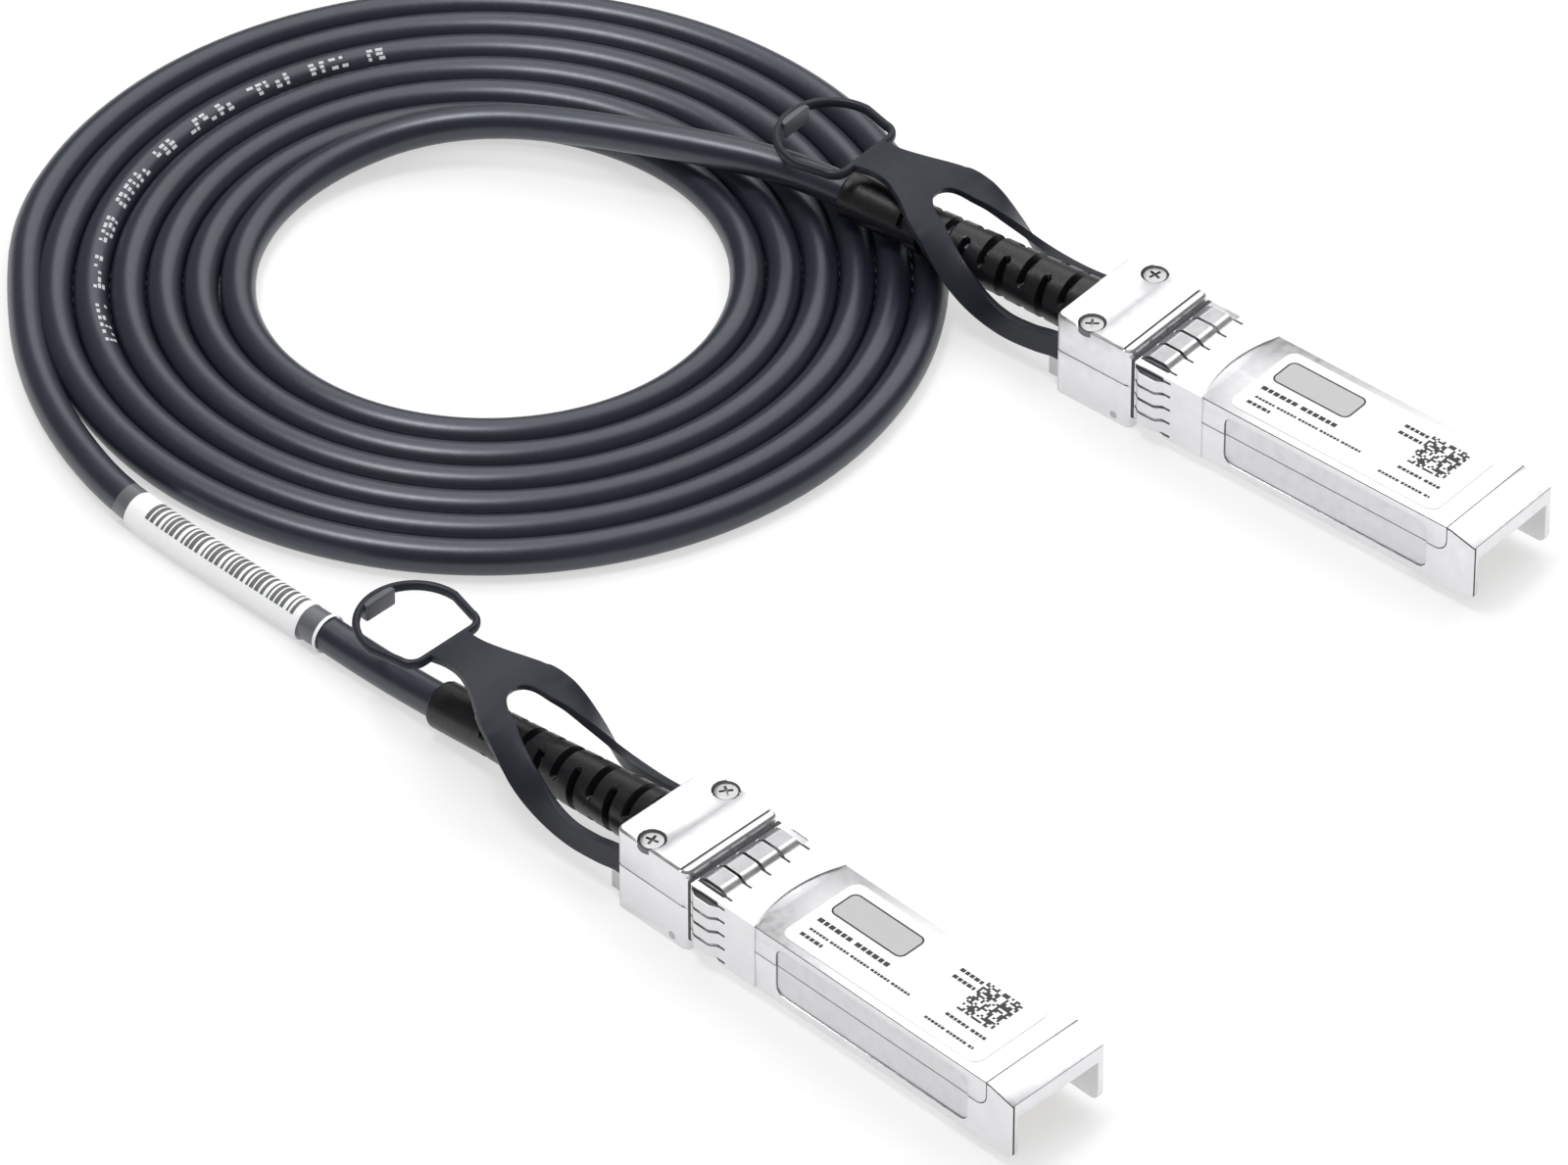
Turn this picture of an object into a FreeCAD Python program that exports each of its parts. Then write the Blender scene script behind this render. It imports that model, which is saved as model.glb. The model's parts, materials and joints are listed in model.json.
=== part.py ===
import FreeCAD
import Part
import math
import os

from FreeCAD import Matrix, Placement, Rotation, Vector

# Direct attach copper cable: two small form-factor pluggable ends on one coiled twin-axial cable.
# Millimetres. The origin is on the floor under the middle of plug A's back shell; +X runs along
# plug A to its nose, +Z is up. Each plug is built in its own frame and then placed: x = 0 at the
# shoulder that stops against the cage, +x to the nose, y = 0 on the middle line, z = 0 on the floor.

# ---- back shell: the thick end that stays outside the cage
SHELL_L = 10.65
SHELL_W = 13.6
SHELL_H = 10.9
SHELL_SPLIT = 5.9            # height of the joint between the two castings
SHELL_CORNER_R = 0.8
SHELL_TOP_BREAK = 0.25
SHELL_FLOOR = 1.2
SHELL_ROOF = 0.7
SHELL_SIDE = 0.5
BACK_WALL = 1.2
FRONT_WALL = 1.0
GROOVE_W = 0.3               # shallow line across the shell's roof, near the shoulder
GROOVE_DEPTH = 0.25
GROOVE_SET_BACK = 0.9

# ---- body: the part that slides into the cage
BODY_L = 47.5
BODY_W = 13.4
BODY_H = 8.5
BODY_LIFT = 1.5              # underside of the body above the underside of the shell
BODY_WALL = 0.75
BODY_FLOOR = 0.8
COVER_T = 0.9
SEAM = 0.06                  # open line between base and cover
FLAP_H = 3.65                # how far the cover's sides come down
FLAP_CORNER_R = 1.6
TIP_SLOPE_L = 3.3
TIP_SLOPE_DROP = 0.87
TIP_FACE_H = 2.1
TIP_TOP = 1.0
TIP_CORNER_R = 1.0
FLAP_TO_SLOPE = 0.5          # the cover ends this far short of the sloped tip
MOUTH_L = 9.0                # stretch of the underside that is open for the host's connector
SIDE_RECESS = 0.18
RECESS_FROM_COLLAR = 3.0
RECESS_FROM_TIP = 6.5
RECESS_MARGIN = 1.0
RECESS_R = 1.2

# ---- printed circuit and what is on it
CARD_W = 9.2
CARD_T = 1.0
CARD_LIFT = 2.25             # underside of the card above the underside of the body
CARD_SET_BACK = 3.2          # front edge of the card behind the tip
CARD_START = 8.0
CARD_BEVEL = 0.3
CARD_FIT = 0.05
LEDGE_IN = 0.6               # how far each ledge reaches under the card
LEDGE_START = 9.0
CLAMP_X = (14.0, 32.0)
CLAMP_L = 1.2
CONTACTS = 10
CONTACT_PITCH = 0.8
CONTACT_W = 0.54
CONTACT_L = 3.6
CONTACT_T = 0.05
CHIP = (4.4, 3.0, 1.0)
CHIP_X = 22.0
CAP = (1.0, 0.5, 0.5)
CAP_X = (12.6, 14.8)
CAP_Y = 1.6

# ---- spring-finger collar round the body, in front of the shoulder
COLLAR_T = 0.15
COLLAR_L = 10.0              # shoulder to the front edge of the band
COLLAR_SAG = 1.4             # the front edge curves back by this much in the middle of the top
COLLAR_SEAT = 0.1            # the castings are this much lower under the band
FINGER_START = 0.6
FINGER_ROOT = 4.6
FINGER_RISE = 0.6
FINGER_FLAT = 1.1
FINGER_SLIT = 0.4
TOP_FINGERS = 4
SIDE_FINGERS = 4
UNDER_FINGERS = 2            # on each side of the latch
FINGER_MARGIN = 1.2

# ---- cover screws
SCREW_FROM_BACK = 4.1
SCREW_FROM_SIDE = 1.35
SCREW_R = 0.75
SCREW_HEAD_R = 1.4
SCREW_HEAD_H = 0.8
SCREW_SINK = 0.1             # head below the roof
SCREW_END = 4.6
POCKET_R = 1.6
CROSS_W = 0.36
CROSS_L = 1.5
CROSS_DEPTH = 0.4
PILLAR_L = 2.9
PILLAR_W = 2.6
PILLAR_FOOT = 4.0
FIT = 0.02                   # between a pin, screw or ferrule and its hole
BAR_SIDES = 8                # sides of round bars and holes that nothing shows
FASTENER_SIDES = 16          # sides of the screws' heads, the pin and what they sit in
ARC_FROM = 2.5               # corners of a smaller radius are rounded by chords
CHORD_TURN = 30.0            # degrees

# ---- latch: rocker on a cross pin, pushed by the slider's wedge
PIN_R = 0.45
PIN_X = -2.3
PIN_Z = 0.9
PIN_RIB_L = 2.2
PIN_RIB_TOP = 1.9
ROCKER_W = 2.5
ROCKER_HUB_R = 0.85
ROCKER_BORE_GAP = 0.03
ROCKER_T = 0.7
ROCKER_FRONT = 5.3
ROCKER_SIDE_GAP = 0.25
BOSS_X = 2.5                 # locking face in front of the shoulder
BOSS_DROP = 0.45
BOSS_FLAT = 0.8
BOSS_RAMP = 1.4
ROCKER_TAIL = 3.95           # pin to the middle of the tail's pad
TAIL_LOW = 0.45
TAIL_T = 0.35
PAD_L = 0.4
PAD_TOP = 1.2
ROCKER_LIFT_ROOM = 0.95      # room above the rocker's front arm
WIRE_FLOOR_RISE = 0.55       # roof of that room, which the cores pass over
WIRE_FLOOR_REACH = 1.6       # how far it goes on in front of the rocker
ROCKER_SWING = 5.5           # degrees, for the whole pull
WINDOW_BACK = -7.6

# ---- slider: folded steel that carries the pull tab's arms
PULL = 1.3                   # travel of the pull tab
SLIDE_GAP = 0.12
LEG_T = 0.9
LEG_SIDE_GAP = 0.15          # between each leg and the shell's side wall
LEG_Z = 1.3
LEG_H = 2.5
EAR_OUT = 1.3                # leg past the shell's back face
LEG_FRONT = -3.75
LUG_L = 0.6
PLATE_T = 0.6
PLATE_X = (-7.9, -6.5)
TONGUE_W = 2.2
TONGUE_FRONT = -4.75
WEDGE_GAP = 0.06
KEY_SET_BACK = 0.4           # from the shell's back face
KEY_L = 1.4
KEY_T = 0.45
KEY_H = 1.6

# ---- return springs: folded strips
SPRING_W = 1.4
SPRING_H = 1.4
SPRING_FOLDS = 6
SPRING_T = 0.3               # the strip's thickness, measured upright
SPRING_Z = 2.95
SPRING_INSET = 0.9           # middle of each spring inside the leg's inner face
STOP_L = 0.5
STOP_W = 1.5
STOP_LOW = 2.0

# ---- cable, strain relief and ferrule
CABLE_D = 4.0
CABLE_SIDES = 12             # sides of the jacket's section
CABLE_BELOW_TOP = 3.8        # axis at the shell's back face
BOOT_L = 33.5
BOOT_NECK_R = 3.2            # through the shell's back wall
BOOT_R0 = 3.5
BOOT_R1 = 2.75
BOOT_COLLAR_L = 7.6
BOOT_SIDES = 18
BOOT_SEAT = 0.05             # from the shell's back face to the boot's root
BOOT_KNUCKLE = 1.0           # the boot's leaning axis starts this far inside the shell
BOOT_HOLE_GAP = 0.05
BOOT_FLANGE_GAP = 0.65       # to the slider's legs
BOOT_FLANGE_L = 1.2
BOOT_FLANGE_LOW = 3.3        # below the axis
BOOT_FLANGE_HIGH = 3.0
SLOT_FIRST = 2.4
SLOT_PITCH = 2.8
SLOTS = 9
SLOT_W = 0.85
SLOT_FLOOR = 2.2             # flat floor of a slot, from the axis
FERRULE_R = 2.6
FERRULE_L = 3.0
CORE_R = 0.3
CORE_Y = (-1.5, -0.8, 0.8, 1.5)
CORE_PITCH = 0.75
CORE_END = 9.4
CORE_GAP = 0.05              # from the end of the jacket

# ---- pull tab
TAB_ROOT_L = 2.25
TAB_ROOT_H = 3.15
EAR_GAP = 0.1                # from the slider's ear to where an arm's lower edge drops past it
TAB_T = 1.0
# side views, behind the shell and above the cable: an arm's lower and upper edge, and the sheet's middle
ARM_LOW = ((4.6, -4.0, 6.0), (8.9, -4.2, 7.0), (12.8, -2.6, 9.0), (19.4, 2.6))
ARM_HIGH = ((19.4, 3.2), (11.9, -0.7, 9.0), (8.0, -1.4, 9.0))
ARM_BEND = (1.6, 6.0)        # behind the shell and radius: where an arm's upper edge starts to fall
SHEET_LINE = ((11.0, -2.1), (20.6, 3.85, 12.0), (25.6, 5.65, 12.0), (32.7, 4.7))
# plans, behind the shell and out from the middle: half of the sheet and of the notch between the arms
SHEET_START = 11.0
SHEET_EDGE = ((18.2, 7.0, 9.0), (25.2, 3.3, 9.0), (29.5, 2.4, 9.0), (32.7, 2.8))
NOTCH_START = (10.0, 11.4)
NOTCH_END = (22.3, 2.7, 3.3)
RING_START = 32.0
RING_STRAIGHT = 5.6
RING_HALF_NEAR = 5.8
RING_HALF = 6.6
RING_CORNER_R = 2.2
RING_BAND = 0.95
RING_LIFT = 4.15             # ring's underside above the cable's axis
RING_H = 1.15
PAD_W = 4.3
PAD_T = 0.75
PAD_H = 2.3

# ---- label on the cover
LABEL = (28.5, 11.4)
LABEL_X = 12.6
LABEL_T = 0.08
LABEL_R = 1.2

# ---- where the plugs lie
PLUG_A = (SHELL_L / 2, 0.0, 0.0)
PLUG_B = (-21.3, 93.8, 4.9)  # x, y and the turn of plug B, in degrees
LEAN_A = 6.8                 # boot A hangs by this much; boot B leans sideways, in degrees
LEAN_B = 3.1

# ---- cable on the floor
FLOOR_GAP = 0.05
COIL_CENTRE = (-87.2, 53.0)
COIL_R = 50.65               # outermost turn where the coil starts
COIL_OVAL = 0.9
COIL_LONG_AXIS = 45.0
COIL_TURNS = 6
COIL_PITCH = 4.05
LEAD_START = 7.5             # each lead first runs straight on from its boot
# lead A along the floor to the coil; lead B from inside the coil up to its boot
LEAD_A = (
    (-60.3, -0.3, 2.30), (-86.0, -1.1, 2.30), (-99.6, 2.0, 2.10), (-111.5, 7.6, 2.05),
    (-121.0, 15.0, 2.05),
)
LEAD_B = (
    (-110.6, 38.6, 2.05), (-113.7, 47.2, 2.20), (-113.4, 56.0, 3.00), (-110.0, 64.4, 4.30),
    (-103.3, 71.2, 5.60), (-94.0, 76.4, 6.50), (-83.5, 81.9, 6.95),
)
SLEEVE_R = 2.25
SLEEVE_L = 31.0
SLEEVE_START = -4.3          # from the start of the run of lead A that it sits on
SLEEVE_GAP = 0.05

# ---- worked out
SHELL_BACK = -SHELL_L
BODY_TOP = BODY_LIFT + BODY_H
BODY_SPLIT = BODY_TOP - FLAP_H
SLOPE_X = BODY_L - TIP_SLOPE_L
FLAP_X = SLOPE_X - FLAP_TO_SLOPE
MOUTH_X = BODY_L - MOUTH_L
ROOM_BACK = SHELL_BACK + BACK_WALL
ROOM_HALF = SHELL_W / 2 - SHELL_SIDE
CHANNEL_HALF = BODY_W / 2 - BODY_WALL
CARD_Z = BODY_LIFT + CARD_LIFT
CARD_TOP = CARD_Z + CARD_T
CARD_END = BODY_L - CARD_SET_BACK
SCREW_X = SHELL_BACK + SCREW_FROM_BACK
SCREW_Y = SHELL_W / 2 - SCREW_FROM_SIDE
POCKET_Z = SHELL_H - SCREW_SINK - SCREW_HEAD_H
ROCKER_ROOM_TOP = BODY_LIFT + ROCKER_T + ROCKER_LIFT_ROOM
WIRE_FLOOR = ROCKER_ROOM_TOP + WIRE_FLOOR_RISE
WIRE_FLOOR_END = ROCKER_FRONT + WIRE_FLOOR_REACH
ROCKER_ROOM_HALF = ROCKER_W / 2 + ROCKER_SIDE_GAP
LEG_TOP = LEG_Z + LEG_H
STOP_X = SCREW_X - PILLAR_L / 2
SPRING_FROM = STOP_X + STOP_L
SPRING_TO = LEG_FRONT - LUG_L
FLANGE_X = ROOM_BACK + 0.05
CABLE_R = CABLE_D / 2
CABLE_Z = SHELL_H - CABLE_BELOW_TOP
LEG_Y = ROOM_HALF - LEG_SIDE_GAP - LEG_T
SPRING_Y = LEG_Y - SPRING_INSET
BOOT_FLANGE_R = LEG_Y - BOOT_FLANGE_GAP
RING_Z = CABLE_Z + RING_LIFT
OVER = 1.0                   # how far a cutting shape runs past what it cuts
X_AXIS, Y_AXIS, Z_AXIS = Vector(1, 0, 0), Vector(0, 1, 0), Vector(0, 0, 1)


def block(x0, x1, y0, y1, z0, z1):
    """A box between two corners."""
    return Part.makeBox(x1 - x0, y1 - y0, z1 - z0, Vector(x0, y0, z0))


def wide(x0, x1, half, z0, z1):
    """A box that is centred on the plug's middle line."""
    return block(x0, x1, -half, half, z0, z1)


def mirrored(shape):
    """The same shape on the other side of the plug's middle line."""
    return shape.mirror(Vector(0, 0, 0), Y_AXIS)


def pair(shape):
    return [shape, mirrored(shape)]


def fused(shapes):
    whole = shapes[0]
    for shape in shapes[1:]:
        whole = whole.fuse(shape)
    return whole.removeSplitter()


def cut(shape, tools):
    for tool in tools:
        shape = shape.cut(tool)
    return shape


def ring_of_sides(radius, sides, start, axis):
    """A closed wire of equal sides round an axis, its corners at the radius."""
    turned = Rotation(Z_AXIS, axis)
    corners = []
    for i in range(sides + 1):
        angle = 2 * math.pi * (i % sides + 0.5) / sides
        corners.append(start + turned.multVec(Vector(radius * math.cos(angle), radius * math.sin(angle), 0)))
    return Part.makePolygon(corners)


def prism(radius, sides, length, start, axis):
    """A straight bar of equal sides along an axis."""
    return Part.Face(ring_of_sides(radius, sides, start, axis)).extrude(axis * (length / axis.Length))


def bar(radius, length, start, axis):
    """A round bar or hole that the castings hide, as a prism of few sides."""
    return prism(radius, BAR_SIDES, length, start, axis)


def round_corner(here, before, after, radius):
    """The points that round a corner off: three for an arc, and a chord every CHORD_TURN if it is small."""
    before.normalize()
    after.normalize()
    half = before.getAngle(after) / 2
    middle = before + after
    middle.normalize()
    centre = here + middle * (radius / math.sin(half))
    start = here + before * (radius / math.tan(half))
    turn = 180 - 2 * math.degrees(half)
    side = 1 if before.cross(after).z < 0 else -1
    chords = 2 if radius >= ARC_FROM else max(2, math.ceil(turn / CHORD_TURN - 0.01))
    spoke = start - centre
    return [centre + Rotation(Z_AXIS, side * turn * k / chords).multVec(spoke) for k in range(chords + 1)]


def rounded_wire(points, place):
    """A closed wire through corner points (u, v) or (u, v, radius), set in space by place(u, v)."""
    count = len(points)
    passed = []
    for i, corner in enumerate(points):
        here = Vector(corner[0], corner[1], 0)
        if len(corner) == 2:
            passed.append([here])
            continue
        before = Vector(*points[i - 1][:2], 0) - here
        after = Vector(*points[(i + 1) % count][:2], 0) - here
        passed.append(round_corner(here, before, after, corner[2]))
    edges = []
    for i, through in enumerate(passed):
        if len(through) > 1 and points[i][2] >= ARC_FROM:
            edges.append(Part.Arc(*[place(point) for point in through]).toShape())
            through = through[-1:]
        for start, end in zip(through, through[1:] + passed[(i + 1) % count][:1]):
            if (end - start).Length > 1e-6:
                edges.append(Part.LineSegment(place(start), place(end)).toShape())
    return Part.Wire(edges)


def side_prism(points, y0, y1):
    """An outline in the plug's side view (x, z), made solid from y0 to y1."""
    wire = rounded_wire(points, lambda p: Vector(p.x, y0, p.y))
    return Part.Face(wire).extrude(Vector(0, y1 - y0, 0))


def top_prism(points, z0, z1):
    """An outline in plan (x, y), made solid from z0 to z1."""
    wire = rounded_wire(points, lambda p: Vector(p.x, p.y, z0))
    return Part.Face(wire).extrude(Vector(0, 0, z1 - z0))


def rounded_plan(x0, x1, half, radius, z0, z1):
    """A plate with rounded corners in plan."""
    corners = [(x0, -half, radius), (x1, -half, radius), (x1, half, radius), (x0, half, radius)]
    return top_prism(corners, z0, z1)


# ---------------------------------------------------------------- castings

def side_recess():
    """The shallow panel sunk into both sides of the body."""
    x0, x1 = COLLAR_L + RECESS_FROM_COLLAR, BODY_L - RECESS_FROM_TIP
    z0, z1 = BODY_LIFT + RECESS_MARGIN, BODY_TOP - RECESS_MARGIN
    corners = [(x0, z0, RECESS_R), (x1, z0, RECESS_R), (x1, z1, RECESS_R), (x0, z1, RECESS_R)]
    inner = BODY_W / 2 - SIDE_RECESS
    return pair(side_prism(corners, inner, inner + OVER))


def arm_slots(z0, z1):
    """The openings in the shell's back wall for the slider's legs and the tab's arms."""
    y0, y1 = LEG_Y - SLIDE_GAP, LEG_Y + LEG_T + SLIDE_GAP
    return pair(block(SHELL_BACK - OVER, ROOM_BACK + OVER, y0, y1, z0, z1))


def boot_hole():
    start = Vector(SHELL_BACK - OVER, 0, CABLE_Z)
    return prism(BOOT_NECK_R + BOOT_HOLE_GAP, BOOT_SIDES, BACK_WALL + 2 * OVER, start, X_AXIS)


def screw_pillars(z0, z1):
    """The blocks beside the shell's walls that the screws go through."""
    x0, x1 = SCREW_X - PILLAR_L / 2, SCREW_X + PILLAR_L / 2
    return pair(block(x0, x1, SHELL_W / 2 - PILLAR_W, ROOM_HALF + SHELL_SIDE / 2, z0, z1))


def screw_holes(z0, z1):
    return pair(bar(SCREW_R + FIT, z1 - z0, Vector(SCREW_X, SCREW_Y, z0), Z_AXIS))


def screw_pockets():
    """The round pockets that the screws' heads lie in."""
    start = Vector(SCREW_X, SCREW_Y, POCKET_Z)
    return pair(prism(POCKET_R, FASTENER_SIDES, SHELL_H + OVER - POCKET_Z, start, Z_AXIS))


def shell_block(z0, z1):
    """The outer form of the shell between two heights, with its standing edges rounded."""
    return rounded_plan(SHELL_BACK, 0, SHELL_W / 2, SHELL_CORNER_R, z0, z1)


def base_housing():
    """Lower casting: the shell's lower half, the channel under the card and the arched tip."""
    outline = [
        (-FRONT_WALL, BODY_LIFT), (BODY_L, BODY_LIFT, TIP_CORNER_R), (BODY_L, BODY_TOP - TIP_SLOPE_DROP),
        (SLOPE_X, BODY_TOP), (FLAP_X, BODY_TOP), (FLAP_X, BODY_SPLIT, FLAP_CORNER_R),
        (0, BODY_SPLIT), (0, SHELL_SPLIT), (-FRONT_WALL, SHELL_SPLIT),
    ]
    body = side_prism(outline, -BODY_W / 2, BODY_W / 2)
    casting = shell_block(0, SHELL_SPLIT).fuse(body)
    ledge_half = CARD_W / 2 - LEDGE_IN
    card_half = CARD_W / 2 + CARD_FIT
    casting = cut(casting, [
        wide(ROOM_BACK, -FRONT_WALL, ROOM_HALF, SHELL_FLOOR, SHELL_H),
        wide(-FRONT_WALL - OVER, FLAP_X, CHANNEL_HALF, CARD_TOP, SHELL_H),
        wide(-FRONT_WALL - OVER, WIRE_FLOOR_END, CHANNEL_HALF, WIRE_FLOOR, SHELL_H),
        wide(CARD_START - OVER, FLAP_X, card_half, CARD_Z, SHELL_H),
        wide(LEDGE_START, MOUTH_X + OVER, ledge_half, BODY_LIFT + BODY_FLOOR, SHELL_H),
        wide(MOUTH_X, BODY_L + OVER, CHANNEL_HALF, 0, BODY_TOP - TIP_SLOPE_DROP - TIP_FACE_H),
        wide(MOUTH_X, BODY_L - BODY_WALL, CHANNEL_HALF, 0, BODY_TOP - TIP_TOP),
    ])
    rib = wide(PIN_X - PIN_RIB_L / 2, -FRONT_WALL, ROOM_HALF, 0, PIN_RIB_TOP)
    stop_out = LEG_Y - SLIDE_GAP
    stop = block(STOP_X, STOP_X + STOP_L, stop_out - STOP_W, stop_out, STOP_LOW, SHELL_SPLIT)
    casting = fused([casting, rib] + screw_pillars(PILLAR_FOOT, SHELL_SPLIT) + pair(stop))
    pin_start = Vector(PIN_X, -SHELL_W / 2 - OVER, PIN_Z)
    pin_bore = prism(PIN_R + FIT, FASTENER_SIDES, SHELL_W + 2 * OVER, pin_start, Y_AXIS)
    casting = cut(casting, arm_slots(LEG_Z - SLIDE_GAP, SHELL_H) + [
        boot_hole(),
        pin_bore,
        wide(WINDOW_BACK, 0, ROCKER_ROOM_HALF, -OVER, PIN_RIB_TOP + OVER),
        wide(PIN_X, ROCKER_FRONT + OVER, ROCKER_ROOM_HALF, -OVER, ROCKER_ROOM_TOP),
    ] + screw_holes(PILLAR_FOOT - OVER, SHELL_H) + side_recess())
    under_collar = wide(0, COLLAR_L, BODY_W, BODY_LIFT - OVER, BODY_LIFT + COLLAR_SEAT)
    return casting.cut(under_collar).removeSplitter()


def top_cover():
    """Upper casting: the shell's upper half and the lid over the card."""
    outline = [
        (-FRONT_WALL, SHELL_SPLIT + SEAM), (0, SHELL_SPLIT + SEAM), (0, BODY_SPLIT + SEAM),
        (FLAP_X - SEAM, BODY_SPLIT + SEAM, FLAP_CORNER_R), (FLAP_X - SEAM, BODY_TOP), (-FRONT_WALL, BODY_TOP),
    ]
    body = side_prism(outline, -BODY_W / 2, BODY_W / 2)
    shell = shell_block(SHELL_SPLIT + SEAM, SHELL_H)
    top_edges = [edge for edge in shell.Edges if edge.BoundBox.ZMin > SHELL_H - 1e-6]
    shell = shell.makeChamfer(SHELL_TOP_BREAK, top_edges)
    casting = shell.fuse(body)
    casting = cut(casting, [
        wide(ROOM_BACK, -FRONT_WALL, ROOM_HALF, 0, SHELL_H - SHELL_ROOF),
        wide(-FRONT_WALL - OVER, FLAP_X + OVER, CHANNEL_HALF, 0, BODY_TOP - COVER_T),
    ])
    clamp_half = CARD_W / 2
    clamps = [
        block(x, x + CLAMP_L, clamp_half - LEDGE_IN, clamp_half, CARD_TOP + CARD_FIT, BODY_TOP - COVER_T / 2)
        for x in CLAMP_X
    ]
    parts = [casting] + screw_pillars(SHELL_SPLIT + SEAM, SHELL_H - SHELL_ROOF / 2)
    for clamp in clamps:
        parts += pair(clamp)
    casting = fused(parts)
    groove_x = -GROOVE_SET_BACK
    groove = wide(groove_x - GROOVE_W, groove_x, SHELL_W, SHELL_H - GROOVE_DEPTH, SHELL_H + OVER)
    tools = arm_slots(0, LEG_TOP + TAB_ROOT_H + SLIDE_GAP) + [boot_hole(), groove]
    tools += screw_holes(0, SHELL_H + OVER) + screw_pockets() + side_recess()
    tools += [wide(0, COLLAR_L, BODY_W, BODY_TOP - COLLAR_SEAT, BODY_TOP + OVER)]
    return cut(casting, tools).removeSplitter()


# ---------------------------------------------------------------- collar

def finger(width):
    """One bowed spring finger, lying along x with its back on z = 0 and its width centred on y = 0."""
    root = FINGER_ROOT + COLLAR_T
    rise_l = (root - FINGER_START - FINGER_FLAT) / 2
    line = [(FINGER_START, 0), (FINGER_START + rise_l, FINGER_RISE), (root - rise_l, FINGER_RISE), (root, 0)]
    back = [(x, z + COLLAR_T) for x, z in reversed(line)]
    return side_prism(line + back, -width / 2, width / 2)


def finger_row(count, span, centre, turn):
    """A row of fingers across one face: centre is that face's middle, turn its roll about x."""
    width = (span - (count - 1) * FINGER_SLIT) / count
    row = []
    for i in range(count):
        strip = finger(width)
        strip.translate(Vector(0, -span / 2 + width / 2 + i * (width + FINGER_SLIT), 0))
        strip.rotate(Vector(0, 0, 0), X_AXIS, turn)
        strip.translate(centre)
        row.append(strip)
    return row


def emi_collar():
    """Sheet-metal band with spring fingers that ground the plug to its cage."""
    low, high = BODY_LIFT + COLLAR_SEAT, BODY_TOP - COLLAR_SEAT
    half = BODY_W / 2
    outer = wide(FINGER_ROOT, COLLAR_L, half + COLLAR_T, low - COLLAR_T, high + COLLAR_T)
    band = outer.cut(wide(FINGER_ROOT - OVER, COLLAR_L + OVER, half, low, high))
    corner = half + COLLAR_T + OVER
    arc = Part.Arc(Vector(COLLAR_L, -half - COLLAR_T, high - COLLAR_T),
                   Vector(COLLAR_L - COLLAR_SAG, 0, high - COLLAR_T),
                   Vector(COLLAR_L, half + COLLAR_T, high - COLLAR_T)).toShape()
    chord = Part.LineSegment(arc.lastVertex().Point, arc.firstVertex().Point).toShape()
    bite = Part.Face(Part.Wire([arc, chord])).extrude(Vector(0, 0, COLLAR_T * 2 + OVER))
    gap = wide(FINGER_ROOT - OVER, ROCKER_FRONT + OVER, ROCKER_ROOM_HALF, low - OVER, low + COLLAR_T / 3)
    middle_z = (low + high) / 2
    side_span = high - low - FINGER_MARGIN
    top_span = BODY_W - 2 * FINGER_MARGIN
    under_span = (top_span - 2 * ROCKER_ROOM_HALF - FINGER_MARGIN) / 2
    under_y = ROCKER_ROOM_HALF + FINGER_MARGIN / 2 + under_span / 2
    rows = finger_row(TOP_FINGERS, top_span, Vector(0, 0, high), 0)
    rows += finger_row(SIDE_FINGERS, side_span, Vector(0, -half, middle_z), 90)
    rows += finger_row(SIDE_FINGERS, side_span, Vector(0, half, middle_z), -90)
    rows += finger_row(UNDER_FINGERS, under_span, Vector(0, -under_y, low), 180)
    rows += finger_row(UNDER_FINGERS, under_span, Vector(0, under_y, low), 180)
    return fused([cut(band, [bite, gap])] + rows)


# ---------------------------------------------------------------- card and cores

def paddle_card():
    """Printed circuit that plugs into the host, bevelled on its front edge."""
    outline = [
        (CARD_START, CARD_Z), (CARD_END - CARD_BEVEL * 2, CARD_Z), (CARD_END, CARD_Z + CARD_BEVEL),
        (CARD_END, CARD_TOP - CARD_BEVEL), (CARD_END - CARD_BEVEL * 2, CARD_TOP), (CARD_START, CARD_TOP),
    ]
    return side_prism(outline, -CARD_W / 2, CARD_W / 2)


def card_contacts():
    """Gold fingers on both faces of the card."""
    x1 = CARD_END - CARD_BEVEL * 2
    pads = []
    for i in range(CONTACTS):
        y = (i - (CONTACTS - 1) / 2) * CONTACT_PITCH
        for z in (CARD_Z - CONTACT_T, CARD_TOP):
            pads.append(block(x1 - CONTACT_L, x1, y - CONTACT_W / 2, y + CONTACT_W / 2, z, z + CONTACT_T))
    return Part.Compound(pads)


def memory_chip():
    length, width, height = CHIP
    return wide(CHIP_X, CHIP_X + length, width / 2, CARD_TOP, CARD_TOP + height)


def card_capacitors():
    length, width, height = CAP
    caps = []
    for x in CAP_X:
        caps += pair(block(x, x + length, CAP_Y, CAP_Y + width, CARD_TOP, CARD_TOP + height))
    return Part.Compound(caps)


def cable_cores():
    """The four insulated cores from the end of the ferrule down to the card."""
    start_x = FLANGE_X + BOOT_FLANGE_L + FERRULE_L + CORE_GAP
    cores = []
    for i, y in enumerate(CORE_Y):
        start = Vector(start_x, CORE_PITCH * (i - 1.5), CABLE_Z)
        run = Vector(CORE_END, y, CARD_TOP + CORE_R) - start
        cores.append(bar(CORE_R, run.Length, start, run))
    return Part.Compound(cores)


# ---------------------------------------------------------------- screws

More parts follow.
